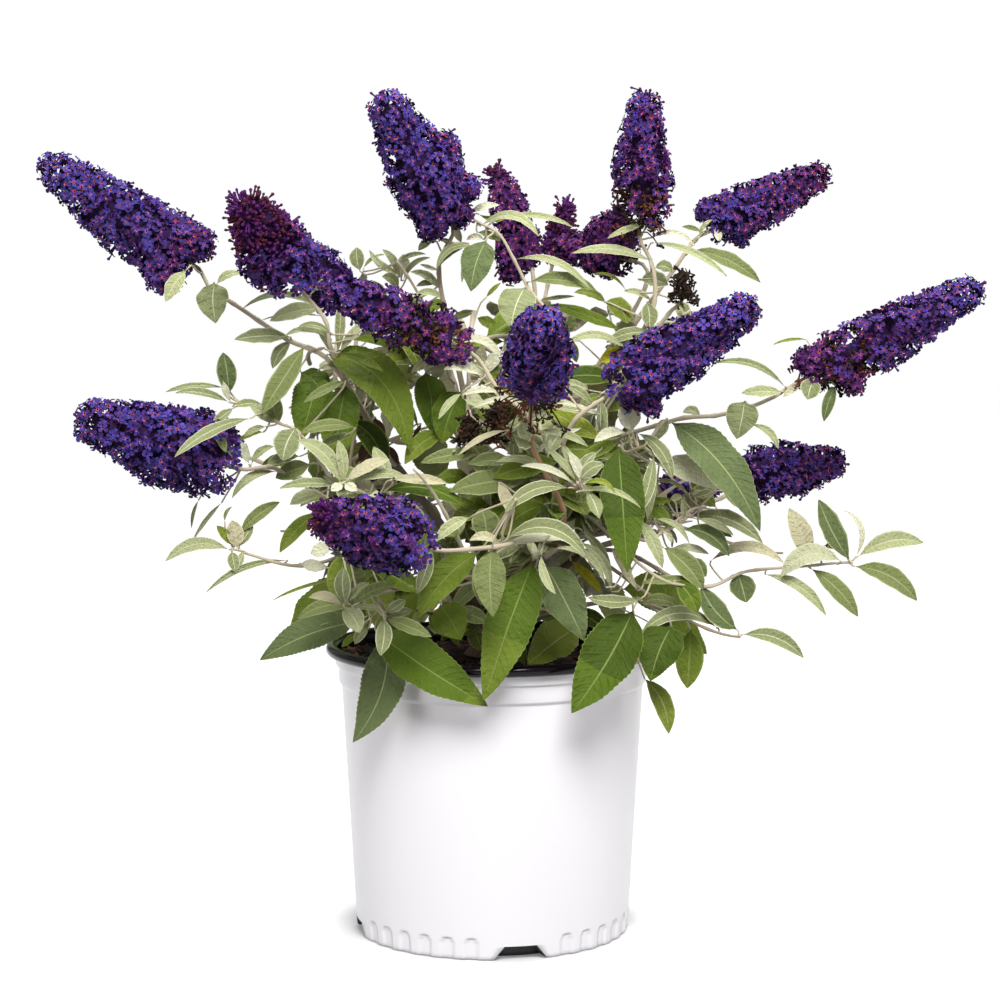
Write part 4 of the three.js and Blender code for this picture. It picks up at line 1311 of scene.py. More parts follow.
def inside(outline, places):
    """Whether places lie in a closed outline."""
    x, z = places.T
    within = np.zeros(len(places), bool)
    for (x1, z1), (x2, z2) in zip(outline, outline[1:] + outline[:1]):
        crosses = (z1 > z) != (z2 > z)
        within ^= crosses & (x < x1 + (z - z1) * (x2 - x1) / ((z2 - z1) or 1))
    return within


def leaves_sky(one, points):
    """Whether a leaf keeps to the dense part of the bush and out of its gaps, or behind a spike."""
    places = seen_at(points)
    dense = inside(DENSE, places)
    spare = one.get("width", 0) * LEAF_SPARE
    for x, z, radius in GAPS:
        dense &= np.hypot(places[:, 0] - x, places[:, 1] - z) > radius + spare
    for x, z, radius in SHADES:
        near = np.hypot(places[:, 0] - x, places[:, 1] - z) < radius + spare
        dense &= ~near | (points[:, 1] > SHADE_DEPTH)
    if not np.all(dense):
        dense |= [behind_spike(place, point) for place, point in zip(places, points)]
    return bool(np.all(dense))


def behind_spike(place, point):
    """Whether a point is hidden by a spike before it. place is where it shows."""
    for foot, tip, radius in SPIKE_LINES:
        (a, b), depth = seen_at(np.array([foot, tip])), max(foot[1], tip[1])
        t = np.clip((place - a) @ (b - a) / ((b - a) @ (b - a)), *HIDING_RUN)
        near = np.linalg.norm(place - mix(a, b, t)) < spike_share(t) * radius * HIDING_ROOM
        if near and point[1] > depth + radius:
            return True
    return False


class Curtain:
    """The leaves that show by themselves: nothing else grows before them."""

    def __init__(self):
        self.places, self.depths, self.reach = np.zeros((0, 2)), np.zeros(0), np.zeros(0)

    def hang(self, leaves):
        for one in leaves:
            line = line_of(one, CURTAIN_PROBES)
            self.places = np.concatenate([self.places, seen_at(line)])
            self.depths = np.append(self.depths, line[:, 1])
            half = np.sin(math.pi * CURTAIN_PROBES) * one["width"] * 0.5
            self.reach = np.append(self.reach, half + 1)

    def hidden_by(self, one, points):
        gaps = np.linalg.norm(self.places[None] - seen_at(points)[:, None], axis=2)
        before = points[:, 1:2] < self.depths[None]
        spare = one.get("width", 0) * CURTAIN_SPARE
        return bool(np.any(before & (gaps < self.reach + spare)))


CURTAIN = Curtain()


def fits(one, box):
    """Whether a leaf or a finer twig has room where it would grow."""
    points = line_of(one, LEAF_PROBES)
    low, high = box
    if np.any(points < low) or np.any(points > high) or not leaves_sky(one, points):
        return False
    blocked = in_pot(points) or in_blossom(points) or hides_blossom(points)
    return not (blocked or CURTAIN.hidden_by(one, points))


# ---- Flower spikes -----------------------------------------------------------------------------
PETAL, HALO, EYE, HOLE, THROAT, BUD, HUSK = range(7)
OPEN, SPENT, CLOSED = range(3)  # an open flower, a spent one and a bud
RUST, BROWN_HUSK = 5, 6  # the tones of spent flowers
PETAL_ROWS = [(1.15, 0.8), (1.95, 1.3), (3.7, 1.95), (5.1, 1.0)]  # reach and half width
PETAL_CUP, PETAL_DIP, PETAL_CORNER = 0.55, 0.4, 0.45
OPEN_PETALS = {"tilt": 0, "shrink": (0.92, 1.06), "crumple": 0.32}
SPENT_PETALS = {"tilt": 0.9, "shrink": (0.45, 0.7), "crumple": 0.55}
PETAL_TURN, PETAL_TILT = (-9, 9), (-0.45, 0.45)
FLOWER_TUBE, TUBE_LEAN = [(0.7, -8.0), (1.3, -0.1)], 0.7  # radius and height of its ends
FLOWER_EYE = [(0.62, -0.55), (1.35, 0.12)]
EYE_SIDES, TUBE_SIDES = 6, 5
BUD_TIP, BUD_LEAN, BUD_FOOT, BUD_NECK = 1.3, 0.5, 0.5, 0.6
BUDS = {  # heights of the foot, neck and head, and radius of the head
    True: (-4, 2.2, 3.9, 1.25),
    False: (-2.6, 0.4, 2.2, 1.5),
}


def circle(count, radius, height):
    angles = round_angles(count)
    return np.stack([np.cos(angles) * radius, np.sin(angles) * radius, np.full(count, height)], -1)


class Form:
    """A small form that is set down many times: its points, and its faces by part."""

    def __init__(self):
        self.points, self.quads, self.tris, self.quad_parts, self.tri_parts = [], [], [], [], []
        self.count = 0

    def put(self, points, part_quads=(), part_tris=()):
        self.points.append(points)
        for part, rows in part_quads:
            self.quads.append(rows + self.count)
            self.quad_parts += [part] * len(rows)
        for part, rows in part_tris:
            self.tris.append(rows + self.count)
            self.tri_parts += [part] * len(rows)
        self.count += len(points)
        return self

    def set_down(self, heap, rows, slots):
        """rows holds places, the way each form faces, its turn, its size and its tone."""
        if not rows:
            return
        rows = np.array(rows)
        place, way, turn, size, tone = rows[:, :3], unit(rows[:, 3:6]), rows[:, 6], rows[:, 7], rows[:, 8]
        hint = np.where(np.abs(way[:, 2:]) > 0.9, [[1.0, 0, 0]], [[0, 0, 1.0]])
        across = turned(unit(np.cross(way, hint)), way, turn[:, None])
        frame_axes = np.stack([across, np.cross(way, across), way], 1) * size[:, None, None]
        points = np.concatenate(self.points) @ frame_axes + place[:, None]
        offsets = (np.arange(len(rows)) * self.count)[:, None, None]
        tone = tone.astype(int)[:, None]
        faces, picks = [], []
        for faces_of, parts in ((self.quads, self.quad_parts), (self.tris, self.tri_parts)):
            if faces_of:
                one = np.concatenate(faces_of)
                faces.append((one[None] + offsets).reshape(-1, one.shape[1]))
                picks.append(slots[np.array(parts)[None], tone].ravel())
        heap.add(points, faces, picks)


def petal_points(angle, tilt, shrink, crumple, rng):
    """Four rows of three points, from the throat to the rounded end of a petal."""
    points = []
    throat = PETAL_ROWS[0][0]
    for i, (reach, half) in enumerate(PETAL_ROWS):
        last = i == len(PETAL_ROWS) - 1
        for u in (-1, 0, 1):
            x = (throat + (reach - throat) * shrink) - (PETAL_CORNER if last and u else 0)
            y = u * (half * (shrink if i else 1))
            z = (x - throat) * tilt + (PETAL_CUP * abs(u) * (i > 0)) - PETAL_DIP * last
            z += rng.normal(0, crumple) * (i > 0)
            points.append((
                x * math.cos(angle) - y * math.sin(angle),
                x * math.sin(angle) + y * math.cos(angle),
                z,
            ))
    return np.array(points)


def floret_form(rng, spent=False, eye=True):
    """Four rounded petals round an orange throat, on the tube that holds them to the spike."""
    form = Form()
    kind = SPENT_PETALS if spent else OPEN_PETALS
    inner, outer, throat = (HUSK, HUSK, HUSK) if spent else (HALO, PETAL, THROAT)
    rows = net_faces(len(PETAL_ROWS), 3, round_columns=False)
    for petal in range(4):
        angle = math.radians(90 * petal + rng.uniform(*PETAL_TURN))
        tilt = rng.uniform(*PETAL_TILT) + kind["tilt"]
        points = petal_points(angle, tilt, rng.uniform(*kind["shrink"]), kind["crumple"], rng)
        form.put(points, [(inner, rows[:2]), (outer, rows[2:])])
    if not spent:
        # The eye is closed by a dark disc, painted shade for the deep throat.
        fan = np.array([(0, i + 1, i + 2) for i in range(EYE_SIDES - 2)])
        rings = np.concatenate([circle(EYE_SIDES, *ring) for ring in FLOWER_EYE])
        form.put(rings, [(EYE if eye else HALO, net_faces(2, EYE_SIDES))], [(HOLE, fan)])
    low, top = [circle(TUBE_SIDES, *ring) for ring in FLOWER_TUBE]
    low = low + np.append(rng.normal(0, TUBE_LEAN, 2), 0)
    return form.put(np.concatenate([low, top]), [(throat, net_faces(2, TUBE_SIDES))])


def bud_form(rng, stalked):
    """A closed flower: a thin tube with a swollen end."""
    sides = TUBE_SIDES
    lean = np.append(rng.normal(0, BUD_LEAN, 2), 0)
    low, neck, head, radius = BUDS[stalked]
    rings = [circle(sides, BUD_FOOT, low), circle(sides, radius * BUD_NECK, neck) + lean * BUD_NECK]
    rings += [circle(sides, radius, head) + lean, (vec((0, 0, head + BUD_TIP)) + lean)[None]]
    bands, cap = net_faces(3, sides), fan_faces(sides, 2 * sides, 3 * sides)
    return Form().put(np.concatenate(rings), [(BUD, bands)], [(BUD, cap)])


# The blossom's materials: name, colour, roughness.
BLOSSOM_COLOURS = [
    ("petal_blue_light", "#50428e", 0.6),
    ("petal_blue", "#3c3276", 0.6),
    ("petal_violet", "#432a64", 0.6),
    ("petal_purple", "#472356", 0.6),
    ("petal_magenta", "#4a2152", 0.6),
    ("halo_blue", "#5a3ca2", 0.55),
    ("halo_purple", "#702e86", 0.55),
    ("eye", "#c8604a", 0.55),
    # A near-black disc of painted shade fills the eye, for the deep throat of the flower.
    ("eye_hole_shade", "#2e0b12", 0.8),
    # The tubes and the mass of stalks are near-black purple, partly their own colour and partly painted
    # shade between the flowers.
    ("flower_tube_and_shade", "#2d143c", 0.8),
    ("bud_purple", "#4a1a58", 0.6),
    ("bud_maroon", "#4a1a32", 0.6),
    ("husk_rust", "#663c28", 0.85),
    ("husk_brown", "#30241b", 0.85),
    ("flower_stalk", "#8b8a68", 0.7),
]
NAMES = [name for name, _, _ in BLOSSOM_COLOURS]
STALK_SLOT = NAMES.index("flower_stalk")
PART_COLOURS = {  # the materials of each part of a flower, by its tone
    PETAL: NAMES[:5] + ["husk_brown"] * 2,
    HALO: ["halo_blue"] * 3 + ["halo_purple"] * 4,
    EYE: ["eye"] * 7,
    HOLE: ["eye_hole_shade"] * 7,
    THROAT: ["flower_tube_and_shade"] * 7,
    BUD: ["bud_purple"] * 4 + ["bud_maroon", "husk_rust", "husk_brown"],
    HUSK: ["husk_brown"] * 5 + ["husk_rust", "husk_brown"],
}
BLOSSOM_SLOTS = np.array([[NAMES.index(name) for name in PART_COLOURS[part]] for part in range(7)])


def blossom_materials():
    made = []
    for name, code, roughness in BLOSSOM_COLOURS:
        look = Look(name, code, roughness, Specular_IOR_Level=0.12)
        look.grain((900, 3), (roughness - 0.1, roughness + 0.15), (0.4, 0.5))
        made.append(look.material)
    return made


FORMS = 5  # of each kind of flower
SPACING = 8.1  # between the middles of neighbouring flowers
CROWDING = 1.3
CYME, CYME_STEP = 7.5, 7  # radius of the small dome that a cluster makes, and flowers to each
CYME_LEAN = 0.5  # how far its flowers face outwards from its middle
WOBBLE = {"angle": 0.12, "share": 0.012, "way": 0.16, "reach": 0.035, "tone": 0.6}
FORWARD, TIP_FORWARD, TIP_START = 0.22, 1.6, 0.86  # how far flowers face along their spike
REACH, DOME_REACH = 0.84, 0.15  # of the radius
FLOWER_SIZES, BUD_SIZES = (0.86, 1.06), (0.95, 1.3)
WITHERED_SHARE, SPENT_SHARE, RUST_SHARE = 0.62, 0.3, 0.2
WITHERED_SINK, WITHERED_TURN = (0.0, 0.35), 0.5
BUDDING_BAND, BUDDING_SHARE = 0.1, 0.2
BUD_SINK, BUD_CLUSTER, BUD_SPREAD, BUD_DEPTH = 3, 4, 2.8, (0, 4)
BUD_TURN, BUD_SIZE, BUD_BLUE_SHARE = 0.1, 1.1, 0.4
TIP_FROM, TIP_SHARE, TIP_SINK = 0.965, 0.25, 2.5  # where some are buds
FOOT_TO, FOOT_SHARE = 0.16, 0.4  # where some are missing
SIDE_BUDS, SIDE_SPREAD, SIDE_TURN, SIDE_SINK = 0.16, 3, 0.4, 2
TIP_FLOWERS, TIP_TURN, TIP_LEAN, TIP_SIZE = 6, 2.4, 0.12, 0.95  # the flowers that close a tip
TIP_BACK, TIP_OUT = (2, 0.8), (1.5, 1.3)  # mm for the first, and more for each of the others
FIRST_FLOWERS = 6  # mm above the foot of a spike
LOBE_FOOT, LOBE_SLIMNESS, LOBE_TONE = (0.15, 0.2), 0.42, 0.5
CORE, CORE_RINGS, CORE_SIDES, CORE_ROUGHNESS = (0.13, 0.88), 18, 9, 0.3
CORE_FILL, WITHERED_FILL = [(0.2, 0.6), (0.88, 0.54)], 0.36
SPIKE_STALK, SPIKE_STALK_END, SPIKE_STALK_SIDES = [1.9, 1.6], 0.3, 6
HUSK_STALK, HUSK_STALK_END, HUSK_STALK_SIDES = [1.2, 0.6], 0.9, 5
FOOT_DROP = 7
WITHERED_RINGS, WITHERED_FRINGE, WITHERED_DROP, WITHERED_RADIUS = 7, 7, 5, 0.8
HUSK_RINGS, HUSK_FRINGE, HUSK_DROP, HUSK_RUST = (0.05, 0.95, 9), 5, 4, 0.05
HUSK_RADII = (0.85, 0.5)  # at the foot, and how much less at the tip
FRINGE_PITCH, FRINGE_REACH, FRINGE_STALK, FRINGE_SIDES = (-40, 40), (0.5, 1.1), [0.7, 0.6, 0.6, 0.5], 4
FRINGE_BUDS, FRINGE_SPREAD, FRINGE_TURN, FRINGE_SIZE = 4, 2, 0.7, 0.9
NEVER = 2  # a share that no flower reaches


class Blossom:
    """The flowers of a group of spikes."""

    def __init__(self, seed):
        self.rng = np.random.default_rng(seed)
        self.heap = Heap()
        forms = range(FORMS)
        self.forms = [floret_form(self.rng, eye=i != 1) for i in forms]
        self.forms += [floret_form(self.rng, spent=True) for _ in forms]
        self.forms += [bud_form(self.rng, stalked=i < 2) for i in forms]
        self.rows = [[] for _ in self.forms]

    def put(self, kind, place, way, size, tone):
        form = kind * FORMS + int(self.rng.integers(FORMS))
        self.rows[form].append([*place, *way, self.rng.uniform(0, 6.3), size, tone])

    def scatter(self, foot, along, length, radius):
        """Flowers all over a cone, in small domes: their shares of its length, and their ways."""
        rng = self.rng
        across = side_of(along)
        over = np.cross(along, across)
        table = np.linspace(0, 1, 200)
        grown = np.cumsum(spike_share(table))
        area = 2 * math.pi * radius * length * grown[-1] / len(table)
        count = int(area / SPACING**2 * CROWDING)
        t = np.interp((np.arange(count) + 0.5) / count, grown / grown[-1], table)
        angle = np.arange(count) * GOLDEN + rng.normal(0, WOBBLE["angle"], count)
        t = np.clip(t + rng.normal(0, WOBBLE["share"], count), 0, 1)
        reach = spike_share(t) * radius
        flat = np.stack([t * length, np.cos(angle) * reach, np.sin(angle) * reach], -1)
        offsets = flat[:, None] - flat[::CYME_STEP][None]
        gaps = np.linalg.norm(offsets, axis=2)
        nearest = gaps.argmin(1)
        gap, offset = gaps[np.arange(count), nearest], offsets[np.arange(count), nearest]
        dome = 1 - np.clip(gap / CYME, 0, 1) ** 2
        radial = across * np.cos(angle)[:, None] + over * np.sin(angle)[:, None]
        aside = along * offset[:, :1] + across * offset[:, 1:2] + over * offset[:, 2:]
        forward = (FORWARD + TIP_FORWARD * np.clip((t - TIP_START) / (1 - TIP_START), 0, 1))[:, None]
        loose = rng.normal(0, WOBBLE["way"], (count, 3))
        way = unit(radial + along * forward + aside / CYME * CYME_LEAN + loose)
        r = reach * (REACH + DOME_REACH * dome + rng.normal(0, WOBBLE["reach"], count))
        places = foot + along * (t * length)[:, None] + radial * r[:, None]
        return t, places, way, radial, reach

    def cone(self, foot, tip, radius, look):
        """A cone of flowers from one point to another, round its mass of stalks, painted near-black as the
        shade between the flowers.
        """
        length = np.linalg.norm(tip - foot)
        along = (tip - foot) / length
        budding = look.get("budding", NEVER)
        for flower in zip(*self.scatter(foot, along, length, radius)):
            self.flower(*flower, look, budding)
        if budding > 1:
            tone = int(np.clip(round(look["tones"][1]), 0, 4))
            for k in range(TIP_FLOWERS):
                out = turned(side_of(along), along, k * TIP_TURN)
                place = tip - along * (TIP_BACK[0] + TIP_BACK[1] * k) + out * (TIP_OUT[0] + TIP_OUT[1] * k)
                self.put(OPEN, place, unit(along + out * TIP_LEAN * k), TIP_SIZE, tone)
        self.core(foot, along, length, radius, look)

    def flower(self, t, place, way, radial, reach, look, budding):
        """One flower at a share of the length of its cone, with the buds beside it."""
        rng = self.rng
        spent_from, spent_to = look.get("withered", (NEVER, NEVER))
        budded = (1 - BUDDING_SHARE) * (t - budding + BUDDING_BAND) / (2 * BUDDING_BAND)
        tone = int(np.clip(round(mix(*look["tones"], t) + rng.normal(0, WOBBLE["tone"])), 0, 4))
        dice = rng.uniform()
        kind = OPEN
        if spent_from <= t <= spent_to and dice < WITHERED_SHARE:
            kind = SPENT if dice < SPENT_SHARE else CLOSED
            place = place - radial * reach * rng.uniform(*WITHERED_SINK)
            way = unit(way + rng.normal(0, WITHERED_TURN, 3))
            tone = RUST if dice < RUST_SHARE else BROWN_HUSK
        elif t > budding - BUDDING_BAND and dice < BUDDING_SHARE + budded:
            kind, tone = CLOSED, 3 if dice < BUD_BLUE_SHARE else 4
            place = place - radial * BUD_SINK
            for _ in range(BUD_CLUSTER):
                nudge = rng.normal(0, BUD_SPREAD, 3)
                beside = place + nudge - radial * rng.uniform(*BUD_DEPTH)
                self.put(CLOSED, beside, way + nudge * BUD_TURN, BUD_SIZE, tone)
        elif t > TIP_FROM and dice < TIP_SHARE:
            kind = CLOSED
            place = place - radial * TIP_SINK
        elif t < FOOT_TO and dice < FOOT_SHARE:
            return
        size = rng.uniform(*(BUD_SIZES if kind == CLOSED else FLOWER_SIZES))
        self.put(kind, place, way, size, tone)
        if kind == OPEN and rng.uniform() < SIDE_BUDS:
            aside = unit(way + rng.normal(0, SIDE_TURN, 3))
            beside = place + rng.normal(0, SIDE_SPREAD, 3) - radial * SIDE_SINK
            self.put(CLOSED, beside, aside, 1.0, tone)

    def core(self, foot, along, length, radius, look):
        """The mass of stalks behind the flowers, painted near-black as the shade between them."""
        spent_from, spent_to = look.get("withered", (NEVER, NEVER))
        t = np.linspace(*CORE, CORE_RINGS)
        relief = self.rng.normal(0, CORE_ROUGHNESS, (CORE_RINGS, CORE_SIDES))
        fill = np.where((t > spent_from) & (t < spent_to), WITHERED_FILL, read_off(CORE_FILL, t))
        line = foot + along * (t * length)[:, None]
        radii = spike_share(t) * radius * fill
        tube(self.heap, line, radii, CORE_SIDES, BLOSSOM_SLOTS[THROAT, 0], relief)

    def spike(self, shoot):
        look = SPIKE_LOOKS.get(shoot["spike"], PLAIN_LOOK)
        foot, tip = vec(shoot["foot"]), vec(shoot["tip"])
        if "spent" in look:
            return self.husk(foot, tip, shoot["radius"])
        start = look.get("from", FIRST_FLOWERS / np.linalg.norm(tip - foot))
        self.cone(mix(foot, tip, start), tip, shoot["radius"], look)
        if "withered" in look:
            for t in np.linspace(*look["withered"], WITHERED_RINGS):
                radius = shoot["radius"] * WITHERED_RADIUS
                self.fringe(mix(foot, tip, t), radius, WITHERED_FRINGE, WITHERED_DROP)
        for lobe in shoot.get("lobes", ()):
            end = vec(lobe)
            root = mix(foot, tip, LOBE_FOOT[0] + LOBE_FOOT[1] * self.rng.uniform())
            radius = np.linalg.norm(end - root) * LOBE_SLIMNESS
            self.cone(root, end, radius, {"tones": (look["tones"][0] + LOBE_TONE,) * 2})
        stalk = np.stack([foot, mix(foot, tip, SPIKE_STALK_END)])
        tube(self.heap, stalk, SPIKE_STALK, SPIKE_STALK_SIDES, STALK_SLOT)
        self.fringe(foot, shoot["radius"], look.get("fringe", 0), FOOT_DROP)

    def husk(self, foot, tip, radius):
        """A spike whose flowers are all over."""
        stalk = np.stack([foot, mix(foot, tip, HUSK_STALK_END)])
        tube(self.heap, stalk, HUSK_STALK, HUSK_STALK_SIDES, BLOSSOM_SLOTS[HUSK, BROWN_HUSK])
        for t in np.linspace(*HUSK_RINGS):
            reach = radius * (HUSK_RADII[0] - HUSK_RADII[1] * t)
            self.fringe(mix(foot, tip, t), reach, HUSK_FRINGE, HUSK_DROP, HUSK_RUST)

    def fringe(self, foot, radius, count, drop, rust=0.4):
        """Spent flowers that stand or hang round a point on their stalks."""
        rng = self.rng
        for _ in range(count):
            out = heading(rng.uniform(0, 360), rng.uniform(*FRINGE_PITCH))
            end = foot + out * radius * rng.uniform(*FRINGE_REACH)
            end = end + UP * (rng.uniform(-drop, drop) - drop / 2)
            stalk = Curve(foot, unit(out + UP), end, unit(out - UP))
            line = stalk.at(np.linspace(0, 1, len(FRINGE_STALK)))
            tone = RUST if rng.uniform() < rust else BROWN_HUSK
            tube(self.heap, line, FRINGE_STALK, FRINGE_SIDES, BLOSSOM_SLOTS[HUSK, tone])
            for _ in range(FRINGE_BUDS):
                place = end + rng.normal(0, FRINGE_SPREAD, 3)
                self.put(CLOSED, place, unit(out + rng.normal(0, FRINGE_TURN, 3)), FRINGE_SIZE, tone)

    def piece(self, name, nodes, materials):
        for form, rows in zip(self.forms, self.rows):
            form.set_down(self.heap, rows, BLOSSOM_SLOTS)
        self.heap.piece(name, materials, "blossom", nodes)


# ---- Leaves' materials -------------------------------------------------------------------------
UNDER_COLOURS = {"young": "#b3af8d", "old": "#818847", "dry": "#523623"}
# The midrib and the margin are paler than the blade: along the margin partly the leaf's own pale edge and
# partly a painted highlight.
LINE_COLOURS = {"young": "#baba97", "mid": "#8b925b", "old": "#6c7c28", "dry": "#5f432a"}
# The surface of a leaf by its age: the sheen of its hair, the scale of its grain, its veins per
# centimetre, and the veins passed from the midrib to the edge.
SURFACES = {"young": (0.2, 1500, 2.4, 1.2), "old": (0.0, 700, 1.5, 2.2), "dry": (0.0, 700, 1.5, 2.2)}
SUNK, RAISED = 0.6, -0.6  # how the veins of the upper side and of the underside lie


def leaf_material(name, code, age, relief):
    sheen, grain, veins, climb = SURFACES[age]
    look = Look(name, code, 0.6, Sheen_Weight=sheen, Sheen_Roughness=0.4, Specular_IOR_Level=0.22)
    parts = look.node("SeparateXYZ", Vector=look.place("UV"))
    across = look.math("ABSOLUTE", look.math("MULTIPLY_ADD", parts.outputs[0], 2.0, -1.0))
    slant = look.math("MULTIPLY", across, climb)
    along = look.math("MULTIPLY", parts.outputs[1], veins)
    wave = look.math("PINGPONG", look.math("SUBTRACT", along, slant), 0.5)
    vein = look.step(wave, From_Max=0.22)
    look.grain((grain, 3), (0.55, 0.8), (0.4, 0.35))
    look.bump(look.noise(260, 2), 0.9, 2.2)
    look.bump(vein, relief, 0.5)
    return look.material


def leaf_materials():
    """The materials of the leaves, and which one each part takes at each tone."""
    made, slots = [], np.zeros((4, len(TONES)), int)
    for age, code in UNDER_COLOURS.items():
        made.append(leaf_material("leaf_under_" + age, code, age, RAISED))
    for age, code in LINE_COLOURS.items():
        look = Look("leaf_line_" + age, code, 0.65, Sheen_Weight=0.2)
        made.append(look.grain((1200, 2), (0.55, 0.8), (0.2, 0.3)).material)
    for tone, (name, (code, age, line)) in enumerate(LEAF_COLOURS.items()):
        slots[TOP, tone] = len(made)
        made.append(leaf_material("leaf_" + name, code, age, SUNK))
        slots[UNDER, tone] = list(UNDER_COLOURS).index(age)
        slots[RIB, tone] = slots[MARGIN, tone] = len(UNDER_COLOURS) + list(LINE_COLOURS).index(line)
    return made, slots


# ---- Trunk and boughs --------------------------------------------------------------------------
BARK_COLOURS = [
    ("bark_grey", "#6b5f4d", 0.85),
    ("bark_brown", "#523e2e", 0.9),
    ("bark_pale", "#9a8668", 0.85),
]
BARK_GREY, BARK_BROWN, BARK_PALE = range(3)
BARK_WAVES = [(3, 0.9), (5, 0.7), (9, 0.6)]  # ridges round a limb, and their depths
BARK_DRIFT, BARK_RIDGES, BARK_GRAIN = 0.05, 0.5, 0.35
TRUNK_RADII = [(0, 24.2), (0.08, 19.5), (0.3, 14.6), (0.8, 11.4), (1.0, 8.6)]
TRUNK_SIDES, TRUNK_BARK = 26, 0.07
ROOTS, ROOT_TURN = 5, 20  # the shoulders at the foot of the trunk
ROOT_LINE = [(8, 12.6), (14, 6.1), (19, 3.1), (23.2, 1.2)]  # way out and height
ROOT_RADII, ROOT_SIDES, ROOT_BARK = [6, 5, 3.2, 1.0], 9, 0.08
BOUGH_RINGS, BOUGH_SIDES, BOUGH_END = 22, 12, 3.1
BOUGH_SPARE, BOUGH_OVERLAP = 0.5, 0.004  # mm more at the trunk, and the share that the twig covers
STRIPS, STRIP_FOOT = 26, [(0, 20), (0.3, 14.6), (1, 10)]  # peeling bark, and how far out it starts
STRIP_MARGINS, STRIP_LENGTH, STRIP_WIDTH, STRIP_LIFT = (6, 12), (14, 34), (1.5, 4), (1, 7)
STRIP_CURL, STRIP_STEPS, STRIP_TAPER, STRIP_THICK = 0.6, 6, (0.5, 2.9), 0.5
WOOD_SEED, SOIL_SEED, BLOSSOM_SEED = 5, 11, 40


def bark_materials():
    made = []
    for name, code, roughness in BARK_COLOURS:
        look = Look(name, code, roughness)
        along = look.node("Mapping", Vector=look.place("UV"), Scale=(14.0, 0.9, 1.0)).outputs[0]
        look.grain((3.0, 5, along), (roughness - 0.12, 1.0), (0.8, 1.2))
        look.bump(look.noise(800, 3), 0.3, 0.4)
        made.append(look.material)
    return made


def bark_relief(rings, sides, depth, rng):
    """Ridges that run along a limb and wander a little, as a share of its radius."""
    drift = np.cumsum(rng.normal(0, BARK_DRIFT, rings))[:, None]
    relief = np.zeros((rings, sides))
    for waves, share in BARK_WAVES:
        relief += share * np.sin(waves * (round_angles(sides) + drift) + rng.uniform(0, 6.3))
    return depth * (relief * BARK_RIDGES + rng.normal(0, BARK_GRAIN, (rings, sides)))


def add_wood(plans):
    """The trunk and the boughs, with their bark."""
    rng = np.random.default_rng(WOOD_SEED)
    heap = Heap()
    height = TRUNK["height"]
    rises = np.linspace(0, height, TRUNK_SIDES)
    line = np.stack([trunk_lean(rises), 0 * rises, GROUND + 0.2 + rises], -1)
    relief = bark_relief(TRUNK_SIDES, TRUNK_SIDES, TRUNK_BARK, rng)
    tube(heap, line, read_off(TRUNK_RADII, rises / height), TRUNK_SIDES, BARK_BROWN, relief)
    for i in range(ROOTS):
        way = heading(360 // ROOTS * i + ROOT_TURN, 0)
        points = np.stack([line[0] + way * r + UP * h for r, h in ROOT_LINE])
        relief = bark_relief(len(ROOT_LINE), ROOT_SIDES, ROOT_BARK, rng)
        tube(heap, points, ROOT_RADII, ROOT_SIDES, BARK_BROWN, relief)
    for b, (bough, stems) in enumerate(plans):
        t = np.linspace(0.0, BOUGH_SHARE + BOUGH_OVERLAP, BOUGH_RINGS)
        start = TIERS[bough["tier"]]["radius"] + BOUGH_SPARE
        radii = read_off([(0, start), (BOUGH_SHARE, BOUGH_END)], t)
        relief = bark_relief(BOUGH_RINGS, BOUGH_SIDES, TRUNK_BARK, rng)
        tube(heap, stems[0].curve.at(t), radii, BOUGH_SIDES, b % 2, relief)
    for i in range(STRIPS):
        angle, rise = rng.uniform(0, 360), rng.uniform(STRIP_MARGINS[0], height - STRIP_MARGINS[1])
        out = heading(angle, 0)
        foot = line[0] + UP * rise + out * read_off(STRIP_FOOT, rise / height)
        end = foot + UP * rng.uniform(*STRIP_LENGTH) + out * rng.uniform(*STRIP_LIFT)
        curve = Curve(foot, UP, end, unit(UP + out * STRIP_CURL))
        points, across = curve.at(np.linspace(0, 1, STRIP_STEPS)), heading(angle + 90, 0)
        strip(heap, points, across, rng.uniform(*STRIP_WIDTH), BARK_PALE if i % 3 else BARK_GREY)
    nodes = ["trunk"] + ["bough_" + bough["name"] for bough, _ in plans]
    heap.piece("trunk_and_boughs", bark_materials(), "bark", nodes)


def strip(heap, points, across, width, slot):
    """A thin flat strip along a path, as a closed form."""
    count = len(points)
    taper = np.sin(np.linspace(*STRIP_TAPER, count))[:, None] * width / 2
    over = unit(np.cross(across, np.gradient(points, axis=0)))
    ring = [points - across * taper, points + across * taper]
    ring += [side + over * STRIP_THICK for side in ring[::-1]]
    last = (count - 1) * 4
    ends = np.array([[3, 2, 1, 0], [last, last + 1, last + 2, last + 3]])
    heap.add(np.stack(ring, 1), [net_faces(count, 4), ends], [slot, slot])


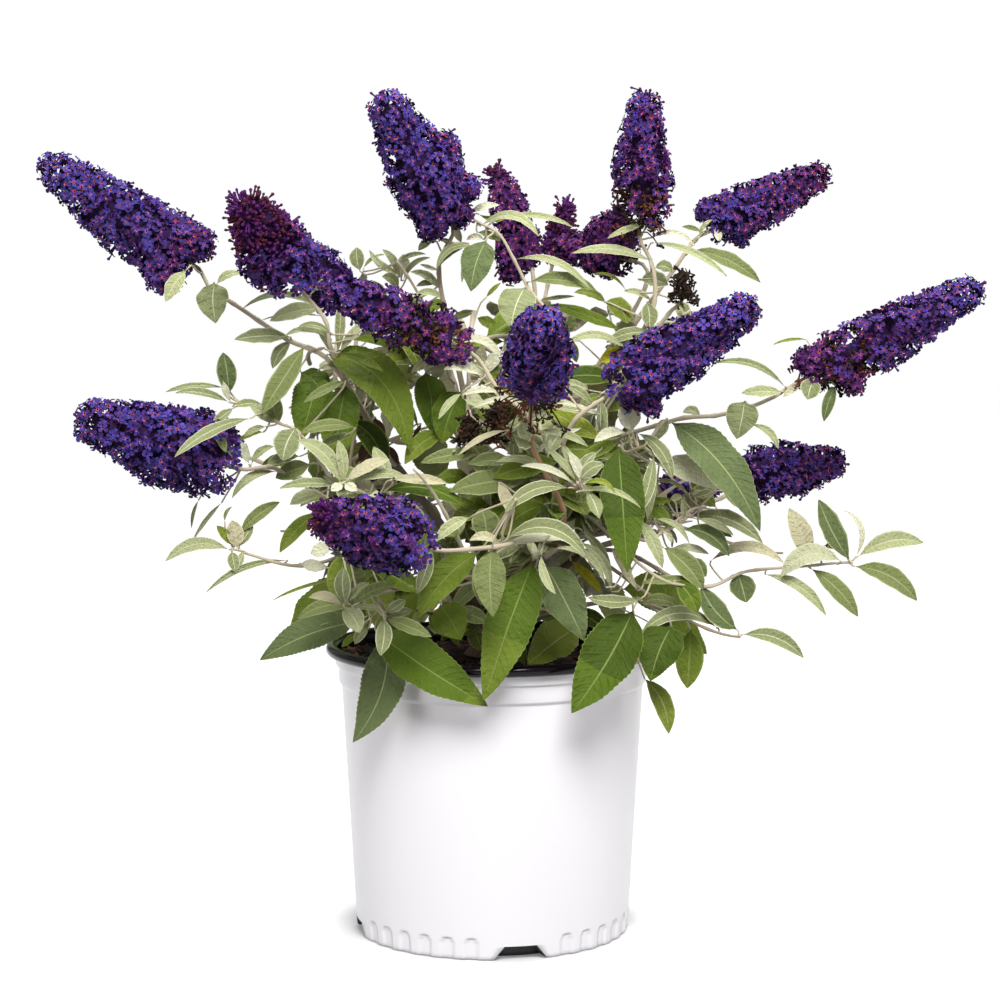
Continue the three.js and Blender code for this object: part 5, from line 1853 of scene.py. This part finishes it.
# ---- Pot and soil ------------------------------------------------------------------------------
FOOT_RADIUS = 114.3
WALL = [  # height and radius
    (0, 113.0), (1.5, 114.3), (208, 126.3), (208.4, 126.4), (210.6, 128.4), (211.4, 128.6),
    (223.4, 129.2), (224.2, 129.4), (224.9, 131.0), (225.6, 131.4), (233.6, 132.4),
]
WALL_LEVELS = [0, 0.7, 1.5, 4, 7, 10.6, 11.0, 11.4, 11.8, 12.8, 14, 15, 16, 16.8, 17.5, 18.0, 18.5, 20]
WALL_LEVELS += [24, 60, 110, 160, 200, 207.4, 208, 208.5, 209.4, 210.4, 210.9, 211.5, 217, 223.2]
WALL_LEVELS += [223.8, 224.2, 224.6, 225.0, 225.5, 226, 230, 233.6]
BEAD = [  # radius and height of the rim, round its section
    (132.3, 233.2), (135.4, 233.0), (138.0, 233.9), (139.3, 235.8), (139.5, 238), (138.6, 240.3),
    (136.6, 241.7), (134.2, 242), (131.6, 241.5), (129.9, 240), (129.2, 237.5), (128.6, 230),
    (127.4, 222), (127.9, 221.6), (129.3, 224), (131.2, 230),
]
RIM_SIDES = 144
PLACES, QUARTER = 36, 9  # round the foot, where flutes and drain notches stand
NOTCH_OFFSETS = (-9.2, -8.9, -6, -3, 0, 3, 6, 8.9, 9.2)  # degrees
FLUTE_OFFSETS = (-3.8, -2.75, -2.4, -1.2, 0, 1.2, 2.4, 2.75, 3.8)
PLAIN_OFFSETS = {1: (2, 4.5), 8: (-4.5, -2)}  # at the places beside a notch
NOTCH_TURN = -78.3
NOTCH_EDGE, NOTCH_TOP_EDGE, NOTCH_HEIGHT, NOTCH_DEPTH = 11.2, 6.4, 11.4, 13
NOTCH_LINE, NOTCH_REACH = 9.05, 15  # degrees: the line that bends to its edge, and what bends with it
NOTCH_CUT = 11.3  # the top of its room
FLUTE_HALF, FLUTE_HEIGHT, FLUTE_DEPTH, FLUTE_EDGE = 5.25, 18, 1.3, 0.6


def pot_angles():
    """Degrees from the first notch, close together at the edges of flutes and notches."""
    angles = []
    for place in range(PLACES):
        beside = place % QUARTER
        offsets = PLAIN_OFFSETS.get(beside, FLUTE_OFFSETS) if beside else NOTCH_OFFSETS
        angles += [10 * place + offset for offset in offsets]
    return vec(sorted(angles))


def notch_warp(size, low):
    """Degrees from a notch's middle, bent so that one line of the net follows its sloping edge."""
    slope = np.clip(low / NOTCH_HEIGHT, 0, 1)
    edge = np.where(low <= NOTCH_CUT, mix(NOTCH_EDGE, NOTCH_TOP_EDGE, slope), NOTCH_LINE)
    outer = edge + (size - NOTCH_LINE) * (NOTCH_REACH - edge) / (NOTCH_REACH - NOTCH_LINE)
    warped = np.where(size <= NOTCH_LINE, size * edge / NOTCH_LINE, outer)
    return np.where(size < NOTCH_REACH, warped, size)


def flute_depth(angles, z):
    """The shallow flutes round the foot, with their round tops."""
    place = np.round(angles / 10)
    fluted = ~np.isin(place % QUARTER, (0, *PLAIN_OFFSETS))
    across = np.radians(angles - place * 10) * FOOT_RADIUS
    arch = np.maximum(z - (FLUTE_HEIGHT - FLUTE_HALF), 0)
    gap = np.hypot(across[None], arch) - FLUTE_HALF
    return fluted[None] * np.clip(0.5 - gap / FLUTE_EDGE, 0, 1) * FLUTE_DEPTH * (z < FLUTE_HEIGHT + 1)


def add_pot():
    """The pot: a turned white wall with flutes and notches let into its foot, and its black rim."""
    angles = pot_angles()
    near = (angles + 45) % 90 - 45  # from the nearest notch
    z, local = np.meshgrid(vec(WALL_LEVELS), near, indexing="ij")
    size = np.abs(local)
    warped = notch_warp(size, z) * np.sign(local)
    theta = np.radians(NOTCH_TURN + angles[None] - near[None] + warped)
    recess = np.where((z <= NOTCH_CUT) & (size < NOTCH_LINE), NOTCH_DEPTH, 0.0)
    r = read_off(WALL, z) - recess - flute_depth(angles, z)
    points = np.stack([np.cos(theta) * r, np.sin(theta) * r, z], -1).reshape(-1, 3)
    quads = net_faces(*z.shape)
    # The notches' recessed walls take the near-black painted shade.
    dark = (recess > 0).ravel()[quads].sum(1) >= 2
    base = fan_faces(len(angles), 0, len(points), down=True)
    heap, rim = Heap(), Heap()
    heap.add(np.append(points, [[0, 0, 0.0]], axis=0), [quads, base], [np.where(dark, 1, 0), 0])
    heap.piece("pot_body", pot_materials(), "pot_plastic", ["pot"])
    turn(rim, BEAD, RIM_SIDES, 0)
    rim.piece("pot_rim", [rim_material()], "pot_plastic", ["pot"])


def turn(heap, profile, sides, slot):
    """A closed profile of radius and height, turned round the pot's axis."""
    angles = round_angles(sides)
    r, z = vec(profile).T
    points = np.stack([np.outer(np.cos(angles), r), np.outer(np.sin(angles), r), np.tile(z, (sides, 1))], -1)
    heap.add(points, [flipped(net_faces(sides, len(profile), round_rows=True))], [slot])


def pot_materials():
    """The white outside, and the near-black walls of the notches, painted as the shade of the hollow under
    the pot.
    """
    look = Look("pot_white", "#eeebef", 0.3, Coat_Weight=0.25, Coat_Roughness=0.12)
    look.grain((260, 3), (0.27, 0.36), (0.08, 0.25))
    look.bump(look.noise(14, 1), 0.12, 2.0)
    dark = Look("pot_notch_shade", "#141116", 0.5)
    dark.bump(dark.noise(300, 2), 0.2, 0.3)
    return [look.material, dark.material]


def rim_material():
    look = Look("pot_black", "#0b060c", 0.15, Specular_IOR_Level=0.22)
    return look.grain((120, 2), (0.1, 0.18), (0.1, 0.4)).material


SOIL_COLOURS = {
    "soil_dark": "#1e1510",
    "soil_brown": "#35241a",
    "chip_red": "#5a3423",
    "chip_tan": "#7d5f42",
}
SOIL_LEVELS = [(0, 229.6), (42, 229.6), (84, 225.6), (126, 223.6)]  # by the way from the middle
SOIL_TOP = 229.9  # round the trunk
SOIL_REACH, SOIL_RINGS, SOIL_SIDES = (0.5, 126.6), 40, 120
HEAP_TURN, HEAP_RISE = 205, 14  # degrees, mm
HEAP_START, HEAP_RUN = 92, 30
TRUNK_ROOM = 30
SWELLS, SWELL_HEIGHT, SWELL_PITCH, SOIL_GRAIN = 9, 0.55, (0.05, 0.22), 0.8
CHIPS, CHIP_RUN, CHIP_LIFT = 620, 93, 1
CHIP_SIZES = [(3, 13), (2, 6), (0.8, 2.6)]
CHIP_VARIETY, CHIP_LEAN = 0.12, 0.35
SMALL_CHIPS = 118  # only small ones beyond this radius
CHIP_FACES = [[0, 2, 3, 1], [4, 5, 7, 6], [0, 1, 5, 4], [2, 6, 7, 3], [0, 4, 6, 2], [1, 3, 7, 5]]


def soil_level(r, angle):
    """Highest round the trunk, and heaped against the rim on the left."""
    facing_heap = np.clip(np.cos(angle - math.radians(HEAP_TURN)), 0, 1) ** 2
    heap = facing_heap * np.clip((r - HEAP_START) / HEAP_RUN, 0, 1)
    return read_off(SOIL_LEVELS, r) + HEAP_RISE * heap


def add_soil():
    """Bark mix to just below the rim, with its chips."""
    rng = np.random.default_rng(SOIL_SEED)
    heap = Heap()
    r = np.linspace(*SOIL_REACH, SOIL_RINGS)[:, None]
    angles = round_angles(SOIL_SIDES)[None]
    z = soil_level(r, angles) + rng.normal(0, SOIL_GRAIN, (SOIL_RINGS, SOIL_SIDES))
    for _ in range(SWELLS):
        azimuth, pitch = rng.uniform(0, 6.3), rng.uniform(*SWELL_PITCH)
        z = z + SWELL_HEIGHT * np.sin((r * np.cos(angles - azimuth)) * pitch + rng.uniform(0, 6.3))
    z = np.where(r > TRUNK_ROOM, z, np.minimum(z, SOIL_TOP))
    top = np.stack([r * np.cos(angles), r * np.sin(angles), z], -1).reshape(-1, 3)
    quads = flipped(net_faces(SOIL_RINGS, SOIL_SIDES))
    hub = fan_faces(SOIL_SIDES, 0, len(top))
    points = np.append(top, [[0, 0, SOIL_LEVELS[0][1]]], axis=0)
    heap.add(points, [quads, hub], [rng.choice([0, 0, 1], len(quads)), 0])
    for _ in range(CHIPS):
        out, angle = TRUNK_ROOM + CHIP_RUN * math.sqrt(rng.uniform()), rng.uniform(0, 6.3)
        level = soil_level(out, angle) + CHIP_LIFT
        chip(heap, vec((out * math.cos(angle), out * math.sin(angle), level)), rng)
    looks = [Look(name, code, 0.95) for name, code in SOIL_COLOURS.items()]
    made = [look.grain((500, 5), (0.8, 1.0), (1.0, 1.5)).material for look in looks]
    heap.piece("soil_surface", made, "potting_mix", ["soil"], smooth=False)


def chip(heap, place, rng):
    """A flake of bark: a box with every corner moved a little."""
    size = vec([rng.uniform(*limits) for limits in CHIP_SIZES])
    if math.hypot(place[0], place[1]) > SMALL_CHIPS:
        size = size * 0.5
    corners = np.array([[x, y, z] for z in (-0.5, 0.5) for y in (-0.5, 0.5) for x in (-0.5, 0.5)])
    corners = (corners + rng.normal(0, CHIP_VARIETY, (8, 3))) * size
    way = unit(vec((rng.normal(0, CHIP_LEAN), rng.normal(0, CHIP_LEAN), 1)))
    across = turned(side_of(way), way, rng.uniform(0, 6.3))
    corners = corners @ np.stack([across, np.cross(way, across), way]) + place
    heap.add(corners, [np.array(CHIP_FACES)], [int(rng.choice([0, 1, 1, 2, 2, 3]))])


# ---- The plant ---------------------------------------------------------------------------------
TWIG_COLOURS = [
    ("twig_pale", "#b3a68c", 0.7),
    ("twig_grey", "#93836c", 0.75),
    ("twig_brown", "#8d6a48", 0.7),
]
TWIG_STEPS, TWIG_SIDES = (7, 9), (7, 5)  # on a shoot and on a finer twig
KNOT, KNOT_RUN = 0.4, 2.2
LEAST_LEAVES = 3  # a finer twig has more


def twig_materials():
    made = []
    for name, code, roughness in TWIG_COLOURS:
        look = Look(name, code, roughness, Sheen_Weight=0.25, Sheen_Roughness=0.5)
        look.grain((900, 3), (roughness - 0.1, roughness + 0.15), (0.4, 0.4))
        made.append(look.material)
    return made


def add_twig(heap, stem, rng):
    """The round twig of a stem, a little swollen at each pair of leaves."""
    run = stem.curve.length * (1 - stem.start)
    count = max(int(run / TWIG_STEPS[stem.level - 1]), 5)
    t = np.sort(np.concatenate([np.linspace(stem.start, 1, count), stem.nodes]))
    radii = stem.radius(t)
    for node in stem.nodes:
        radii = radii + KNOT * np.exp(-(((t - node) * stem.curve.length / KNOT_RUN) ** 2))
    slot = stem.shoot.get("bark", int(rng.choice([PALE, PALE, GREY])) if stem.level == 1 else PALE)
    tube(heap, stem.curve.at(t), radii, TWIG_SIDES[stem.level - 1], slot)


GROUPS = {  # the masses and spikes that share a piece
    "left": ["left_high", "left_low", "front_left", "basal_left"],
    "middle": ["centre_high", "front", "basal_front"],
    "right": ["right_front", "right_high", "right_low", "basal_right"],
    "back_right": ["back_right_high", "back_right_low", "basal_back_right"],
    "back_left": ["back_high", "back_left_low", "basal_back_left"],
}


def mass_box(name):
    """The room of a mass: its solid's box, with a little to spare."""
    low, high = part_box(name)
    return np.array(low) / MM - BOX_SPARE, np.array(high) / MM + BOX_SPARE


def grow(stem, box, twigs):
    """Adds the twigs of a stem to a heap, and returns the leaves that fit into its room."""
    rng = np.random.default_rng(stem.seed)
    leaves, finer = dress(stem, rng)
    for twig in finer:
        root, middle, tip = twig.curve.at(vec((0, 0.5, 1)))
        if fits({"root": root, "middle": middle, "tip": tip}, box):
            more = [one for one in dress(twig, rng)[0] if fits(one, box)]
            if len(more) > LEAST_LEAVES:
                leaves += more
                add_twig(twigs, twig, rng)
    add_twig(twigs, stem, rng)
    return [one for one in leaves if fits(one, box)]


def placed_leaves(name, stems, twigs):
    """The leaves of SEEN that belong to a mass."""
    rng = np.random.default_rng(stems[0].seed + SEEN_SEED)
    lines = SEEN.get(name, "").strip().splitlines()
    return [placed_leaf(line, stems, rng, twigs) for line in lines]


def add_plant():
    plans = [(bough, stems_of(bough, b)) for b, bough in enumerate(BOUGHS)]
    add_wood(plans)
    entries = {bough["name"]: stems for bough, stems in plans}
    entries |= {clump["name"]: [clump_stem(clump, c)] for c, clump in enumerate(CLUMPS)}
    materials, slots = leaf_materials()
    twigs = Heap()
    placed = {name: placed_leaves(name, stems, twigs) for name, stems in entries.items()}
    for leaves in placed.values():
        CURTAIN.hang([one for one in leaves if one["root"][1] < FACING_EYE])
    petals = blossom_materials()
    for g, (group, names) in enumerate(GROUPS.items()):
        leaves, blossom, spikes = [], Blossom(BLOSSOM_SEED + g), []
        for name in names:
            box = mass_box("leaves_" + name)
            leaves += placed[name]
            for stem in entries[name]:
                leaves += grow(stem, box, twigs)
                if "spike" in stem.shoot:
                    blossom.spike(stem.shoot)
                if "spike_" + stem.shoot.get("spike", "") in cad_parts:
                    spikes.append("spike_" + stem.shoot["spike"])
        heap = Heap()
        for kind in LEAF_KINDS:
            shape_leaves(heap, [one for one in leaves if one["kind"] == kind], kind, slots)
        heap.piece("leaves_" + group, materials, "foliage", ["leaves_" + name for name in names])
        blossom.piece("blossom_" + group, spikes, petals)
    nodes = ["leaves_" + name for names in GROUPS.values() for name in names]
    twigs.piece("twigs", twig_materials(), "bark", nodes)


# ---- Camera, floor and light -------------------------------------------------------------------
LENS, SENSOR, CAMERA_DIP = 90, 36, 5.05  # mm, mm, degrees below the level
FLOOR_HALF, FLOOR_DEPTH = 8.0, -0.0004  # metres, from here on
ROOM_RADIUS = 9
# The floor is painted darker round the pot's foot as a shadow: it glows less and is paler there.
SHADOW = {"From_Min": 0.11, "From_Max": 0.155}  # from the middle of the pot to its edge
FLOOR_TINT, FLOOR_GLOW = (0.7, 0.25), (0.1, 0.93)  # beneath the pot, and beside it
WORLD_STRENGTH = 0.31
WHITE = (1.0, 1.0, 1.0, 1.0)
AIM = (0, 0, 0.35)
LIGHTS = [  # name, place, size and power
    ("key", (0.25, -1.9, 2.2), 1.3, 87),
    ("fill_left", (-1.9, -1.0, 0.8), 1.2, 16),
    ("fill_right", (1.9, -1.0, 0.8), 1.2, 13),
    ("top", (0.2, 0.5, 2.3), 1.2, 36),
]


def linked(name, data):
    made = bpy.data.objects.new(name, data)
    bpy.context.scene.collection.objects.link(made)
    return made


def add_camera():
    data = bpy.data.cameras.new("camera")
    data.lens = LENS
    data.sensor_width = SENSOR
    camera = linked("camera", data)
    camera.location = vec(EYE_PLACE) * MM
    camera.rotation_euler = (math.radians(90 - CAMERA_DIP), 0, 0)
    bpy.context.scene.camera = camera


def add_light(name, place, size, power):
    """A round lamp that shines on the middle of the bush."""
    data = bpy.data.lights.new(name, "AREA")
    data.shape = "DISK"
    data.size = size
    data.energy = power
    light = linked(name, data)
    light.location = place
    x, y, z = np.array(AIM) - np.array(place)
    light.rotation_euler = (math.acos(-z / np.linalg.norm((x, y, z))), 0, math.atan2(y, x) - math.pi / 2)


def add_floor():
    """A white floor that glows, with a painted shadow round the pot's foot, where it glows less so that it
    shows grey and the real shadows show on it.
    """
    ends = ((-1, -1), (1, -1), (1, 1), (-1, 1))
    corners = [(x * FLOOR_HALF, y * FLOOR_HALF, FLOOR_DEPTH) for x, y in ends]
    mesh = bpy.data.meshes.new("floor")
    mesh.from_pydata(corners, [], [range(4)])
    floor = linked("floor", mesh)
    look = Look("floor_white", "#f4f4f6", 0.6, Emission_Color=WHITE, Specular_IOR_Level=0.1)
    away = look.node("VectorMath", {"operation": "LENGTH"}, i0=look.place()).outputs["Value"]
    # Painted shadow: the glow falls off towards the pot's foot.
    clear = look.step(away, **SHADOW)
    look.put(look.shader.inputs["Base Color"], look.spread(clear, *FLOOR_TINT))
    look.put(look.shader.inputs["Emission Strength"], look.spread(clear, *FLOOR_GLOW))
    look.bump(look.noise(60, 2), 0.02, 0.2)
    mesh.materials.append(look.material)
    floor.visible_diffuse = False
    return floor


def add_room():
    """A white shell round the scene, which only the camera sees."""
    mesh = bpy.data.meshes.new("backdrop")
    form = bmesh.new()
    bmesh.ops.create_uvsphere(form, u_segments=48, v_segments=24, radius=ROOM_RADIUS)
    bmesh.ops.reverse_faces(form, faces=form.faces)
    form.to_mesh(mesh)
    form.free()
    white = Look("backdrop_white", "#000000", 1.0, Emission_Color=WHITE, Emission_Strength=1.0)
    mesh.materials.append(white.material)
    shell = linked("backdrop", mesh)
    shell.visible_diffuse = shell.visible_glossy = shell.visible_transmission = shell.visible_shadow = False
    return shell


def add_stage():
    """A pale floor in a pale room, with soft lights."""
    floor, shell = add_floor(), add_room()
    world = bpy.data.worlds.new("room")
    world.use_nodes = True
    world.node_tree.nodes["Background"].inputs["Color"].default_value = WHITE
    world.node_tree.nodes["Background"].inputs["Strength"].default_value = WORLD_STRENGTH
    bpy.context.scene.world = world
    for light in LIGHTS:
        add_light(*light)
    bpy.context.scene.view_settings.view_transform = "Standard"


add_camera()
add_stage()
add_pot()
add_soil()
add_plant()
